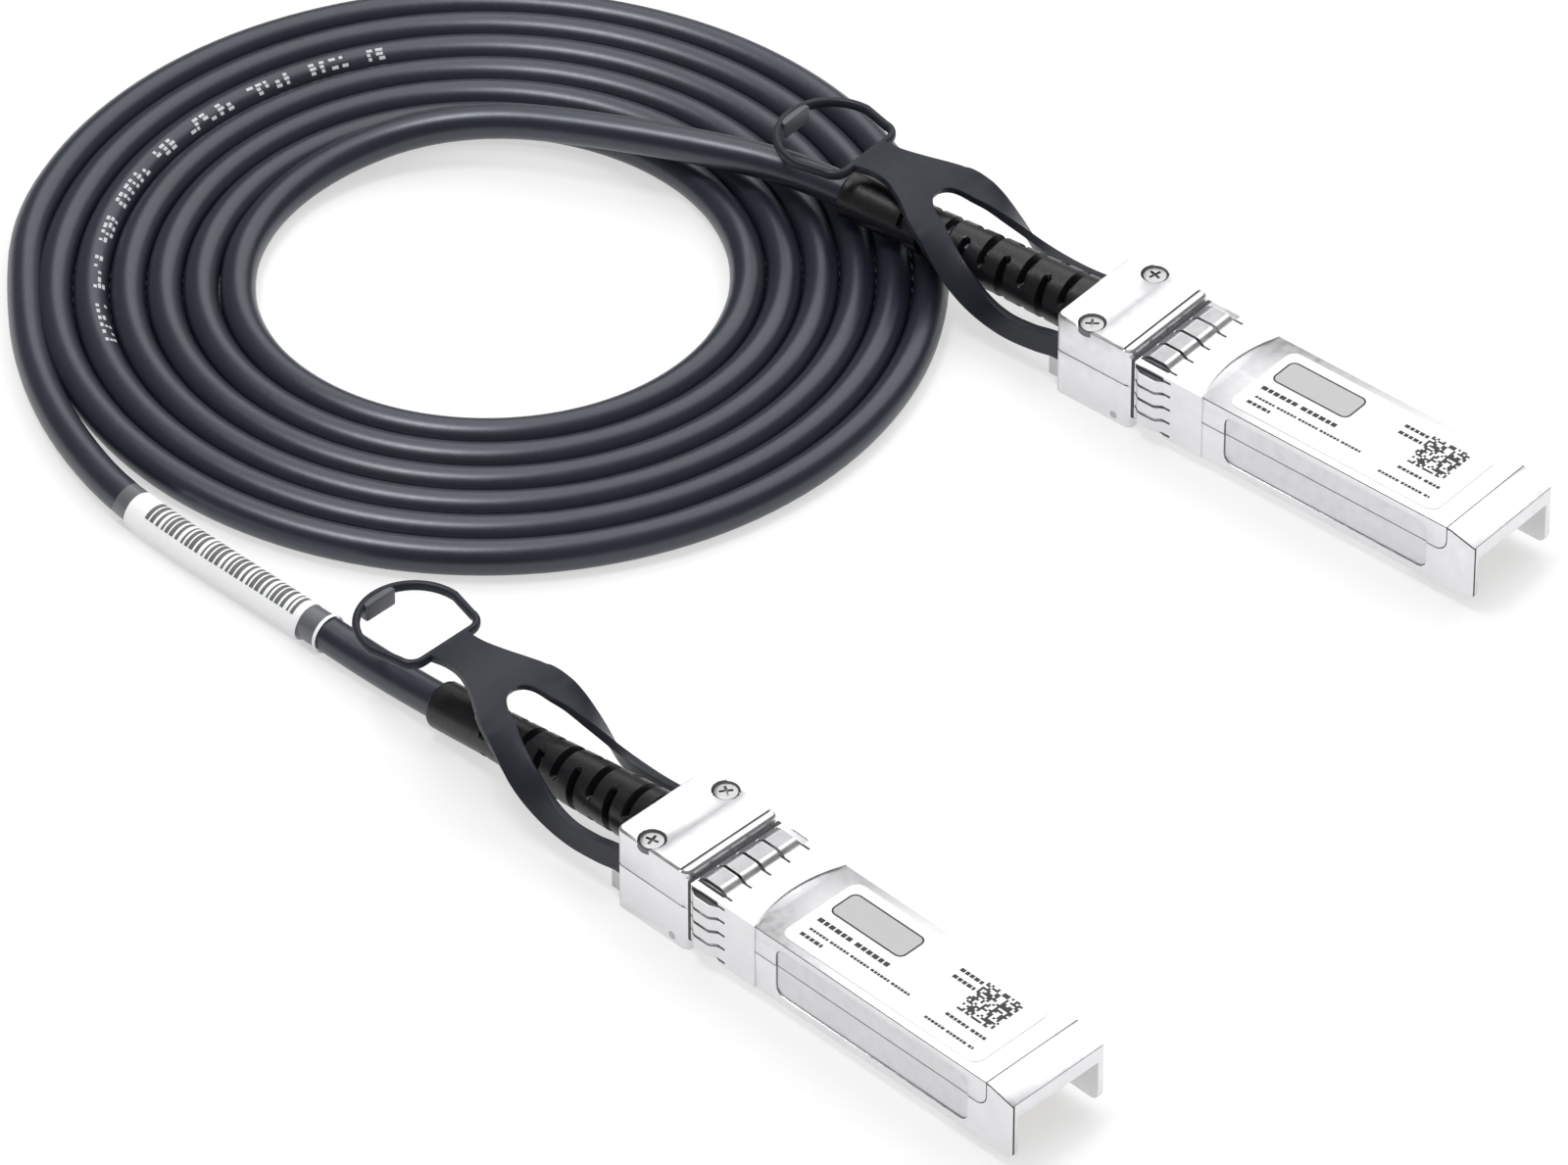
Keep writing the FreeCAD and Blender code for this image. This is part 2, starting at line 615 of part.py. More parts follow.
def shell_screws():
    """The two cross-head screws that hold the castings together."""
    screws = []
    for side in (1, -1):
        centre = Vector(SCREW_X, side * SCREW_Y, 0)
        shank = bar(SCREW_R, POCKET_Z - SCREW_END, centre + Vector(0, 0, SCREW_END), Z_AXIS)
        head = prism(SCREW_HEAD_R, FASTENER_SIDES, SCREW_HEAD_H, centre + Vector(0, 0, POCKET_Z), Z_AXIS)
        arm = Part.makeBox(CROSS_L, CROSS_W, CROSS_DEPTH + OVER,
                           Vector(-CROSS_L / 2, -CROSS_W / 2, POCKET_Z + SCREW_HEAD_H - CROSS_DEPTH))
        for turn in (0, 90):
            slot = arm.copy()
            slot.rotate(Vector(0, 0, 0), Z_AXIS, turn + 45)
            slot.translate(centre)
            head = head.cut(slot)
        screws.append(fused([shank, head]))
    return Part.Compound(screws)


# ---------------------------------------------------------------- latch

def latch_pin():
    """The cross pin, its ends just under the shell's sides."""
    half = SHELL_W / 2 - FIT
    return prism(PIN_R, FASTENER_SIDES, 2 * half, Vector(PIN_X, -half, PIN_Z), Y_AXIS)


def latch_rocker():
    """The lever whose boss locks under the cage: front arm, hub on the pin and tail with a pad."""
    low, high = BODY_LIFT, BODY_LIFT + ROCKER_T
    boss_end = BOSS_X + BOSS_FLAT
    front_arm = [
        (PIN_X, PIN_Z), (0, low), (BOSS_X, low), (BOSS_X, low - BOSS_DROP), (boss_end, low - BOSS_DROP),
        (boss_end + BOSS_RAMP, low), (ROCKER_FRONT, low), (ROCKER_FRONT, high), (-0.4, high),
        (PIN_X, PIN_Z + ROCKER_HUB_R),
    ]
    pad_x = PIN_X - ROCKER_TAIL
    tail_top = TAIL_LOW + TAIL_T
    tail = [
        (PIN_X, PIN_Z), (PIN_X, PIN_Z - ROCKER_HUB_R * 0.6), (pad_x - PAD_L / 2, TAIL_LOW),
        (pad_x - PAD_L / 2, PAD_TOP), (pad_x + PAD_L / 2, PAD_TOP), (pad_x + PAD_L / 2, tail_top),
        (PIN_X - ROCKER_HUB_R, tail_top),
    ]
    half = ROCKER_W / 2
    hub = Part.makeCylinder(ROCKER_HUB_R, ROCKER_W, Vector(PIN_X, -half, PIN_Z), Y_AXIS)
    lever = fused([side_prism(front_arm, -half, half), side_prism(tail, -half, half), hub])
    bore_start = Vector(PIN_X, -half - OVER, PIN_Z)
    return lever.cut(Part.makeCylinder(PIN_R + ROCKER_BORE_GAP, ROCKER_W + 2 * OVER, bore_start, Y_AXIS))


def latch_slider():
    """Folded steel: two legs with ears, a cross plate and a tongue whose wedge presses the tail."""
    leg_back = SHELL_BACK - EAR_OUT
    leg = block(leg_back, LEG_FRONT, LEG_Y, LEG_Y + LEG_T, LEG_Z, LEG_TOP)
    lug_in = SPRING_Y - SPRING_W / 2
    lug_low, lug_high = SPRING_Z - SPRING_H / 2, SPRING_Z + SPRING_H / 2
    lug = block(LEG_FRONT - LUG_L, LEG_FRONT, lug_in, LEG_Y + LEG_T, lug_low, lug_high)
    key_y = LEG_Y + (LEG_T - KEY_T) / 2
    key_x = SHELL_BACK + KEY_SET_BACK
    key = block(key_x, key_x + KEY_L, key_y, key_y + KEY_T, LEG_TOP - 0.2, LEG_TOP + KEY_H)
    plate = wide(PLATE_X[0], PLATE_X[1], LEG_Y + LEG_T / 2, LEG_Z, LEG_Z + PLATE_T)
    pad_x = PIN_X - ROCKER_TAIL
    fall = ROCKER_TAIL * math.tan(math.radians(ROCKER_SWING))
    wedge = [
        (PLATE_X[1] - PLATE_T, LEG_Z), (pad_x + PAD_L / 2, PAD_TOP + WEDGE_GAP),
        (pad_x + PAD_L / 2 + PULL, PAD_TOP + WEDGE_GAP - fall), (TONGUE_FRONT, PAD_TOP + WEDGE_GAP - fall),
        (TONGUE_FRONT, LEG_Z + PLATE_T), (PLATE_X[1] - PLATE_T, LEG_Z + PLATE_T),
    ]
    tongue = side_prism(wedge, -TONGUE_W / 2, TONGUE_W / 2)
    return fused(pair(leg) + pair(lug) + pair(key) + [plate, tongue])


def return_springs():
    """Two folded strips between the base's stops and the slider's lugs."""
    low, high = SPRING_Z - SPRING_H / 2, SPRING_Z + SPRING_H / 2 - SPRING_T
    start, end = SPRING_FROM, SPRING_TO - FIT
    line = []
    for i in range(SPRING_FOLDS + 1):
        line.append((start + (end - start) * i / SPRING_FOLDS, high if i % 2 else low))
    back = [(x, z + SPRING_T) for x, z in reversed(line)]
    return Part.Compound(pair(side_prism(line + back, SPRING_Y - SPRING_W / 2, SPRING_Y + SPRING_W / 2)))


# ---------------------------------------------------------------- boot and cable end

def boot_axis(lean, sideways):
    """Where the boot's leaning axis starts, and its direction away from the plug."""
    angle = math.radians(lean)
    fall = Vector(0, -1, 0) if sideways else Vector(0, 0, -1)
    return Vector(SHELL_BACK + BOOT_KNUCKLE, 0, CABLE_Z), X_AXIS * -math.cos(angle) + fall * math.sin(angle)


def cable_section(start, direction):
    return ring_of_sides(CABLE_R, CABLE_SIDES, start, direction)


def jacket(axis, inside, length):
    """The cable's form: level inside the shell, then along the leaning axis."""
    knuckle, direction = axis
    start = Vector(inside, 0, CABLE_Z)
    path = Part.makePolygon([start, knuckle, knuckle + direction * length])
    return path.makePipeShell([cable_section(start, X_AXIS)], True, True, 1)


def boot_slots(axis):
    """Slots with flat floors in opposite pairs, turned a quarter from one station to the next."""
    knuckle, direction = axis
    reach = BOOT_R0 + OVER
    tools = []
    for i in range(SLOTS):
        at = BOOT_KNUCKLE + SLOT_FIRST + i * SLOT_PITCH
        for half_turn in (0, 180):
            tool = Part.makeBox(SLOT_W, 2 * reach, reach, Vector(at - SLOT_W / 2, -reach, SLOT_FLOOR))
            tool.rotate(Vector(0, 0, 0), X_AXIS, (90 if i % 2 else 0) + half_turn)
            tool.Placement = Placement(knuckle, Rotation(X_AXIS, direction)) * tool.Placement
            tools.append(tool)
    return tools


def strain_relief(axis):
    """Moulded boot: flange held in the shell, slotted taper, plain collar, bored for the cable."""
    knuckle, direction = axis
    taper_l = BOOT_KNUCKLE + BOOT_L - BOOT_COLLAR_L
    root_x = SHELL_BACK - BOOT_SEAT
    neck = prism(BOOT_NECK_R, BOOT_SIDES, FLANGE_X - root_x, Vector(root_x, 0, CABLE_Z), X_AXIS)
    sections = [
        ring_of_sides(radius, BOOT_SIDES, knuckle + direction * along, direction)
        for radius, along in ((BOOT_R0, 0), (BOOT_R1, taper_l), (BOOT_R1, taper_l + BOOT_COLLAR_L))
    ]
    taper = Part.makeLoft(sections, True, True)
    taper = taper.cut(wide(root_x, OVER, SHELL_W, 0, 2 * SHELL_H))
    flange = prism(BOOT_FLANGE_R, BOOT_SIDES, BOOT_FLANGE_L, Vector(FLANGE_X, 0, CABLE_Z), X_AXIS)
    flange_low, flange_high = CABLE_Z - BOOT_FLANGE_LOW, CABLE_Z + BOOT_FLANGE_HIGH
    flange = flange.common(wide(FLANGE_X, FLANGE_X + BOOT_FLANGE_L, BOOT_FLANGE_R, flange_low, flange_high))
    boot = fused([taper, neck, flange])
    bore = jacket(axis, FLANGE_X + BOOT_FLANGE_L + OVER, BOOT_KNUCKLE + BOOT_L + OVER)
    return cut(boot, boot_slots(axis) + [bore])


def cable_end(axis):
    """The stretch of jacket inside the boot and the ferrule."""
    return jacket(axis, FLANGE_X + BOOT_FLANGE_L + FERRULE_L, BOOT_KNUCKLE + BOOT_L)


def crimp_ferrule():
    """Crimped to a hexagon round the end of the jacket."""
    start = Vector(FLANGE_X + BOOT_FLANGE_L, 0, CABLE_Z)
    sleeve = prism(FERRULE_R, 6, FERRULE_L, start, X_AXIS)
    return sleeve.cut(prism(CABLE_R + FIT, CABLE_SIDES, FERRULE_L, start, X_AXIS))


# ---------------------------------------------------------------- pull tab

def behind(points):
    """The same outline with its first value counted backwards from the shell's back face."""
    return [(SHELL_BACK - point[0],) + tuple(point[1:]) for point in points]


def above_cable(points, shift=0.0):
    """The same side view with its heights counted from the cable's axis, moved up by shift."""
    return [(point[0], CABLE_Z + shift + point[1]) + tuple(point[2:]) for point in points]


def both_sides(edge):
    """A closed plan outline from its half on one side of the middle line."""
    return [(p[0], -p[1]) + tuple(p[2:]) for p in edge] + list(reversed(edge))


def pull_arm():
    """An upright strap from its root inside the shell, over the slider's ear, up to the sheet."""
    top = LEG_TOP + TAB_ROOT_H
    root = [(-TAB_ROOT_L, top), (-TAB_ROOT_L, LEG_TOP), (EAR_OUT + EAR_GAP, LEG_TOP)]
    bend = [(ARM_BEND[0], top, ARM_BEND[1])]
    return side_prism(behind(root + above_cable(ARM_LOW + ARM_HIGH) + bend), LEG_Y, LEG_Y + LEG_T)


def tab_sheet():
    """The flat stretch where the arms join: its side view and its plan, each drawn once."""
    lower = above_cable(SHEET_LINE, -TAB_T / 2)
    upper = above_cable(reversed(SHEET_LINE), TAB_T / 2)
    ribbon = side_prism(behind(lower + upper), -SHELL_W, SHELL_W)
    sheet_edge = ((SHEET_START, LEG_Y + LEG_T),) + SHEET_EDGE
    notch_edge = tuple((back, LEG_Y) for back in NOTCH_START) + (NOTCH_END,)
    plan = top_prism(behind(both_sides(sheet_edge)), 0, 2 * SHELL_H)
    notch = top_prism(behind(both_sides(notch_edge)), 0, 2 * SHELL_H)
    return ribbon.common(plan).cut(notch)


def ring_face(inset):
    """The D-shaped loop in plan: flat side to the plug, round far side."""
    turn = RING_START + RING_STRAIGHT
    half = RING_HALF - inset
    near = RING_START + inset
    corner = max(RING_CORNER_R - inset, 0.3)
    half_near = RING_HALF_NEAR - inset
    front = [(turn, -half), (near, -half_near, corner), (near, half_near, corner), (turn, half)]
    body = top_prism(behind(front), RING_Z, RING_Z + RING_H)
    return body.fuse(Part.makeCylinder(half, RING_H, Vector(SHELL_BACK - turn, 0, RING_Z)))


def pull_tab():
    """Nylon pull tab: two arms from the slider, the sheet that joins them, and the finger ring."""
    band = ring_face(0).cut(ring_face(RING_BAND))
    far = SHELL_BACK - (RING_START + RING_STRAIGHT + RING_HALF - RING_BAND)
    top = RING_Z + RING_H
    pad = wide(far - RING_BAND / 2, far + PAD_T, PAD_W / 2, top - PAD_H, top)
    tab = fused([tab_sheet(), band, pad] + pair(pull_arm()))
    return tab.cut(latch_slider()).removeSplitter()


def cover_label():
    length, width = LABEL
    return rounded_plan(LABEL_X, LABEL_X + length, width / 2, LABEL_R, BODY_TOP, BODY_TOP + LABEL_T)


# ---------------------------------------------------------------- cable on the floor

def arc_route(points):
    """Straight runs joined by arcs as large as the runs allow. Returns the wire and the radii."""
    edges, radii = [], []
    start = points[0]
    for i in range(1, len(points) - 1):
        back, ahead = points[i - 1] - points[i], points[i + 1] - points[i]
        shorter = 0.45 * min(back.Length, ahead.Length)
        back.normalize()
        ahead.normalize()
        turn = math.pi - back.getAngle(ahead)
        radius = shorter / math.tan(turn / 2)
        middle = back + ahead
        middle.normalize()
        deep = radius / math.cos(turn / 2) - radius
        enter, leave = points[i] + back * shorter, points[i] + ahead * shorter
        edges.append(Part.LineSegment(start, enter).toShape())
        edges.append(Part.Arc(enter, points[i] + middle * deep, leave).toShape())
        radii.append(radius)
        start = leave
    edges.append(Part.LineSegment(start, points[-1]).toShape())
    return Part.Wire(edges), radii


def coil_radius(turned):
    """The centre of the cable from the coil's middle, after so many degrees clockwise from its start."""
    around = COIL_LONG_AXIS + 180 - turned
    oval = COIL_OVAL * math.cos(math.radians(2 * (around - COIL_LONG_AXIS)))
    return COIL_R - COIL_PITCH * turned / 360 + oval


def oval_disc(long_half, short_half, centre, height):
    along = Vector(math.cos(math.radians(COIL_LONG_AXIS)), math.sin(math.radians(COIL_LONG_AXIS)), 0)
    across = Vector(-along.y, along.x, 0)
    oval = Part.Ellipse(centre + along * long_half, centre + across * short_half, centre).toShape()
    return Part.Face(Part.Wire([oval])).extrude(Vector(0, 0, height))


def cable_coil():
    """One closed solid with the coil's outer form: a flat oval ring, as high as one cable."""
    along = Vector(math.cos(math.radians(COIL_LONG_AXIS)), math.sin(math.radians(COIL_LONG_AXIS)), 0)
    across = Vector(-along.y, along.x, 0)
    middle = Vector(*COIL_CENTRE, FLOOR_GAP)
    discs = []
    for first, sign in ((0, 1), ((COIL_TURNS - 1) * 360 + 90, -1)):
        reach = [coil_radius(first + quarter * 90) + sign * CABLE_R for quarter in range(4)]
        if sign < 0:
            reach = reach[3:] + reach[:3]
        centre = middle + along * ((reach[2] - reach[0]) / 2) + across * ((reach[1] - reach[3]) / 2)
        discs.append(oval_disc((reach[0] + reach[2]) / 2, (reach[1] + reach[3]) / 2, centre, CABLE_D))
    return discs[0].cut(discs[1])


def cable_lead(name, points):
    """A lead of the cable along its route; prints what shows that the tube is sound."""
    wire, radii = arc_route(points)
    tube = wire.makePipeShell([cable_section(points[0], points[1] - points[0])], True, True)
    section = Part.Face(cable_section(points[0], X_AXIS)).Area
    print("%s: length %.1f, radii %s" % (name, wire.Length, ", ".join("%.0f" % r for r in radii)))
    print("  volume %.0f, section x length %.0f" % (tube.Volume, section * wire.Length))
    return tube


def label_sleeve():
    """Clear sleeve with a wrapped label, threaded on the straight run of lead A."""
    start, end = Vector(*LEAD_A[0]), Vector(*LEAD_A[1])
    towards = end - start
    towards.normalize()
    start = start + towards * SLEEVE_START
    outer = prism(SLEEVE_R, CABLE_SIDES, SLEEVE_L, start, towards)
    return outer.cut(prism(CABLE_R + SLEEVE_GAP, CABLE_SIDES, SLEEVE_L, start, towards))


# ---------------------------------------------------------------- the whole

def placed(shape, plug):
    shape = shape.copy()
    shape.Placement = Placement(Vector(plug[0], plug[1], 0), Rotation(Z_AXIS, plug[2])) * shape.Placement
    return shape


def plug_pieces(axis):
    return {
        "base_housing": base_housing(),
        "top_cover": top_cover(),
        "emi_collar": emi_collar(),
        "shell_screws": shell_screws(),
        "paddle_card": paddle_card(),
        "card_contacts": card_contacts(),
        "memory_chip": memory_chip(),
        "card_capacitors": card_capacitors(),
        "cable_cores": cable_cores(),
        "crimp_ferrule": crimp_ferrule(),
        "cable_end": cable_end(axis),
        "strain_relief": strain_relief(axis),
        "latch_pin": latch_pin(),
        "latch_rocker": latch_rocker(),
        "latch_slider": latch_slider(),
        "return_springs": return_springs(),
        "pull_tab": pull_tab(),
        "cover_label": cover_label(),
    }


def main():
    os.makedirs("parts", exist_ok=True)
    shapes, starts = {}, {}
    for letter, plug, lean, sideways in (("a", PLUG_A, LEAN_A, False), ("b", PLUG_B, LEAN_B, True)):
        axis = boot_axis(lean, sideways)
        for name, shape in plug_pieces(axis).items():
            shapes["%s_%s" % (name, letter)] = placed(shape, plug)
        knuckle, direction = axis
        boot_end = knuckle + direction * (BOOT_KNUCKLE + BOOT_L)
        place = Placement(Vector(plug[0], plug[1], 0), Rotation(Z_AXIS, plug[2]))
        starts[letter] = [place.multVec(boot_end), place.multVec(boot_end + direction * LEAD_START)]
    shapes["cable_lead_a"] = cable_lead("lead A", starts["a"] + [Vector(*p) for p in LEAD_A])
    shapes["cable_lead_b"] = cable_lead("lead B", [Vector(*p) for p in LEAD_B] + starts["b"][::-1])
    shapes["cable_coil"] = cable_coil()
    shapes["label_sleeve"] = label_sleeve()
    for name, shape in shapes.items():
        shape.exportStep("parts/%s.step" % name)


main()
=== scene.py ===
import json
import math
import random

import bmesh
import bpy
from mathutils import Matrix, Vector


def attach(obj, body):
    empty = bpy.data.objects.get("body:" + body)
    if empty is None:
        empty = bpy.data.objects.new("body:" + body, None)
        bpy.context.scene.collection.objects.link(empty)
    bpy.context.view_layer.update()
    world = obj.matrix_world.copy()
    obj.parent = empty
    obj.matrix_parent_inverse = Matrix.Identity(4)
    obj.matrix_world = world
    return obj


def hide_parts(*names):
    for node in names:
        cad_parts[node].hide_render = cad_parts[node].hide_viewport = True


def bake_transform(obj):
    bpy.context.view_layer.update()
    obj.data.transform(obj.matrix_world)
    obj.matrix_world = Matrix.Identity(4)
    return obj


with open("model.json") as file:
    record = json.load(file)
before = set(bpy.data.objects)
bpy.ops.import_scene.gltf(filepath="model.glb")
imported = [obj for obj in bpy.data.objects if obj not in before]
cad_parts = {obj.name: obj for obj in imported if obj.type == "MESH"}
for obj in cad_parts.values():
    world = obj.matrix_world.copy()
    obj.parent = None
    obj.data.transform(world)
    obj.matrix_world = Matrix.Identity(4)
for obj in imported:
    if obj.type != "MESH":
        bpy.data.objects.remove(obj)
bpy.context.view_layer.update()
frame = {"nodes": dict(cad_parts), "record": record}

bl_info = {
    "name": "Direct attach cable",
    "version": (1, 0, 0),
    "blender": (4, 5, 0),
    "location": "View3D > Sidebar > Cable",
    "description": "Dresses the packed direct attach cable: jacket, boots, pull tabs, castings and labels",
    "category": "Object",
}

MM = 0.001
NODES = frame["nodes"]
MOUNTS = {mount["name"]: mount for mount in frame["record"]["mounts"]}

# ---- sizes shared with the solids, in millimetres; a plug's own frame has x = 0 at its shoulder
SHELL_L = 10.65
BODY_L = 47.5
BODY_TOP = 10.0
CABLE_Z = 7.1
BOOT_KNUCKLE = 1.0
BOOT_L = 33.5
LEANS = {"a": (6.8, False), "b": (3.1, True)}   # degrees; downwards or to the plug's side

# ---- the cable's route
LEAD_START = 7.5
LEAD_A = (
    (-60.3, -0.3, 2.30), (-86.0, -1.1, 2.30), (-99.6, 2.0, 2.10), (-111.5, 7.6, 2.05),
    (-121.0, 15.0, 2.05),
)
LEAD_B = (
    (-110.6, 38.6, 2.05), (-113.7, 47.2, 2.20), (-113.4, 56.0, 3.00), (-110.0, 64.4, 4.30),
    (-103.3, 71.2, 5.60), (-94.0, 76.4, 6.50), (-83.5, 81.9, 6.95),
)
COIL_CENTRE = (-87.2, 53.0)
COIL_R = 50.65
COIL_OVAL = 0.9
COIL_LONG_AXIS = 45.0
COIL_TURNS = 6
COIL_PITCH = 4.05
COIL_Z = 2.05
COIL_STEP = 15.0             # degrees between two points of a turn
COIL_FIRST = 11.0            # the first point, clockwise from where the coil starts


# ---- settings

class CableSettings(bpy.types.PropertyGroup):
    diameter: bpy.props.FloatProperty(
        name="Cable diameter", description="Outside of the jacket", default=0.004, unit="LENGTH")
    length: bpy.props.FloatProperty(
        name="Cable length", description="From one boot to the other", default=1.62, unit="LENGTH")
    jacket: bpy.props.FloatVectorProperty(
        name="Jacket", description="Colour of the jacket", subtype="COLOR", default=(0.014, 0.018, 0.031))
    jacket_ink: bpy.props.FloatVectorProperty(
        name="Jacket marks", description="Colour of the marks along the jacket", subtype="COLOR",
        default=(0.62, 0.63, 0.66))


class PlugSettings(bpy.types.PropertyGroup):
    casting: bpy.props.FloatVectorProperty(
        name="Castings", description="Colour of the plated castings", subtype="COLOR",
        default=(0.82, 0.82, 0.835))
    steel: bpy.props.FloatVectorProperty(
        name="Sheet steel", description="Colour of the collar, slider and screws", subtype="COLOR",
        default=(0.56, 0.56, 0.57))
    edge: bpy.props.FloatProperty(
        name="Edge break", description="Rounding on the castings' edges", default=0.00012, unit="LENGTH")
    label: bpy.props.FloatVectorProperty(
        name="Label", description="Colour of the label film", subtype="COLOR", default=(0.97, 0.97, 0.975))
    ink: bpy.props.FloatVectorProperty(
        name="Ink", description="Colour of the label's print", subtype="COLOR", default=(0.035, 0.035, 0.04))


class MouldingSettings(bpy.types.PropertyGroup):
    rubber: bpy.props.FloatVectorProperty(
        name="Boot", description="Colour of the strain reliefs", subtype="COLOR",
        default=(0.008, 0.008, 0.010))
    nylon: bpy.props.FloatVectorProperty(
        name="Pull tab", description="Colour of the pull tabs", subtype="COLOR",
        default=(0.021, 0.024, 0.035))
    slot_depth: bpy.props.FloatProperty(
        name="Slot depth", description="Depth of the boot's slots", default=0.0011, unit="LENGTH")
    strap: bpy.props.FloatProperty(
        name="Strap thickness", description="Thickness of the pull tab's straps", default=0.0009,
        unit="LENGTH")


class StageSettings(bpy.types.PropertyGroup):
    key: bpy.props.FloatProperty(
        name="Soft box", description="Power of the large soft box behind the object", default=8.2,
        unit="POWER")
    overhead: bpy.props.FloatProperty(
        name="Overhead light", description="Power of the smaller light above the object", default=3.2,
        unit="POWER")
    streak: bpy.props.FloatProperty(
        name="Streak light", description="Power of the light that only shows in shiny surfaces", default=4.6,
        unit="POWER")
    sky: bpy.props.FloatProperty(
        name="Surroundings", description="Strength of the even light from all round", default=0.56)
    mirrored: bpy.props.FloatProperty(
        name="Mirrored surroundings", description="How bright the surroundings look in shiny surfaces",
        default=0.22)
    lift: bpy.props.FloatProperty(
        name="Floor lift", description="Light added to the floor as it is seen", default=0.56)
    distance: bpy.props.FloatProperty(
        name="Camera distance", description="From the middle of the object", default=1.5, unit="LENGTH")


# ---- places

def plug_place(letter):
    """The matrix from a plug's own frame (x = 0 at its shoulder) to the row frame, in metres."""
    mount = MOUNTS["plug_%s_slide" % letter]
    yaw = math.atan2(mount["axis"][1], mount["axis"][0])
    turned = Matrix.Translation(Vector(mount["pos_m"])) @ Matrix.Rotation(yaw, 4, "Z")
    return turned @ Matrix.Translation((SHELL_L / 2 * MM, 0, 0))


def boot_axis(letter):
    """Start and direction of the boot's leaning axis, in the plug's frame and millimetres."""
    lean, sideways = LEANS[letter]
    angle = math.radians(lean)
    fall = Vector((0, -1, 0)) if sideways else Vector((0, 0, -1))
    start = Vector((BOOT_KNUCKLE - SHELL_L, 0, CABLE_Z))
    return start, Vector((-math.cos(angle), 0, 0)) + fall * math.sin(angle)


def boot_exit(letter, beyond=0.0):
    """Where the cable leaves the boot, or a point straight on from there, in metres."""
    start, direction = boot_axis(letter)
    return plug_place(letter) @ ((start + direction * (BOOT_KNUCKLE + BOOT_L + beyond)) * MM)


def behind(distance, out, height):
    """A point of the pull tab from its distance behind the shell, in the plug's frame."""
    return Vector((-SHELL_L - distance, out, height))


# ---- materials

def feed(owner, node, inputs):
    """Fills a node's inputs: a socket of another node is linked, anything else is a value."""
    for name, value in inputs.items():
        if isinstance(value, bpy.types.NodeSocket):
            owner.node_tree.links.new(value, node.inputs[name])
        else:
            node.inputs[name].default_value = value
    return node


def add_node(owner, kind, inputs=None, **settings):
    """A new node in a material or a world, with its settings and its inputs."""
    node = owner.node_tree.nodes.new(kind)
    for name, value in settings.items():
        setattr(node, name, value)
    return feed(owner, node, inputs or {})


def new_material(name):
    material = bpy.data.materials.new(name)
    material.use_nodes = True
    material.node_tree.nodes.clear()
    shader = add_node(material, "ShaderNodeBsdfPrincipled")
    add_node(material, "ShaderNodeOutputMaterial", {"Surface": shader.outputs["BSDF"]})
    return material, shader


def coordinates(material, stretch=(1, 1, 1)):
    """Object coordinates, each multiplied by its stretch."""
    source = add_node(material, "ShaderNodeTexCoord")
    mapping = add_node(material, "ShaderNodeMapping", {
        "Scale": stretch, "Vector": source.outputs["Object"]})
    return mapping.outputs["Vector"]


def noise(material, scale, detail=3.0, roughness=0.5, stretch=(1, 1, 1)):
    node = add_node(material, "ShaderNodeTexNoise", {
        "Vector": coordinates(material, stretch), "Scale": scale, "Detail": detail, "Roughness": roughness})
    return node.outputs["Fac"]


def spread(material, value, low, high):
    """Takes a noise from its usual middle range to low..high."""
    node = add_node(material, "ShaderNodeMapRange", {
        "Value": value, "From Min": 0.3, "From Max": 0.7, "To Min": low, "To Max": high})
    return node.outputs["Result"]


def tinted(material, value, dark, light):
    """A colour between two, by value; a colour mix has its two colours at its sockets 6 and 7."""
    node = add_node(material, "ShaderNodeMix", {
        "Factor": value, 6: (*dark, 1.0), 7: (*light, 1.0)}, data_type="RGBA")
    return node.outputs[2]


def bump(material, height, strength, distance):
    node = add_node(material, "ShaderNodeBump", {
        "Height": height, "Strength": strength, "Distance": distance})
    return node.outputs["Normal"]


def shaded(colour, factor):
    return tuple(channel * factor for channel in colour)


def grained_finish(name, colours, cloud, rough, grain, relief, surface):
    """Colour that varies over a broad cloud, with roughness and bump that vary over a fine grain.

    colours and rough are (low, high), cloud and grain are settings of noise, relief is (strength, depth).
    """
    material, shader = new_material(name)
    grainy, cloudy = noise(material, **grain), noise(material, **cloud)
    feed(material, shader, {
        "Base Color": tinted(material, spread(material, cloudy, 0.0, 1.0), *colours),
        "Roughness": spread(material, grainy, *rough),
        "Normal": bump(material, grainy, *relief),
        **surface})
    return material


def metal_finish(name, colour, rough, grain, stretch=(1, 1, 1), specks=0.0):
    """Plated, rolled or ground metal."""
    return grained_finish(
        name, (shaded(colour, 0.95), colour), {"scale": 140.0, "detail": 2.0}, (rough * 0.8, rough * 1.25),
        {"scale": grain, "stretch": stretch}, (0.12 + specks, 0.00002), {"Metallic": 1.0})


def moulded_finish(name, colour, rough, grain, depth=0.00003, shine=0.5):
    """Moulded plastic or rubber: slightly mottled, over a fine eroded texture."""
    return grained_finish(
        name, (shaded(colour, 0.8), shaded(colour, 1.2)), {"scale": 90.0, "detail": 2.0},
        (rough * 0.85, rough * 1.15), {"scale": grain, "detail": 4.0, "roughness": 0.6}, (0.5, depth),
        {"Specular IOR Level": shine})


def jacket_finish(colour):
    """Extruded jacket: satin, under a thin glossy skin."""
    return grained_finish(
        "jacket_pvc", (shaded(colour, 0.85), shaded(colour, 1.15)), {"scale": 55.0}, (0.33, 0.39),
        {"scale": 1600.0}, (0.3, 0.00002),
        {"Specular IOR Level": 0.8, "Specular Tint": (0.88, 0.92, 1.0, 1.0), "Coat Weight": 0.12,
         "Coat Roughness": 0.3})


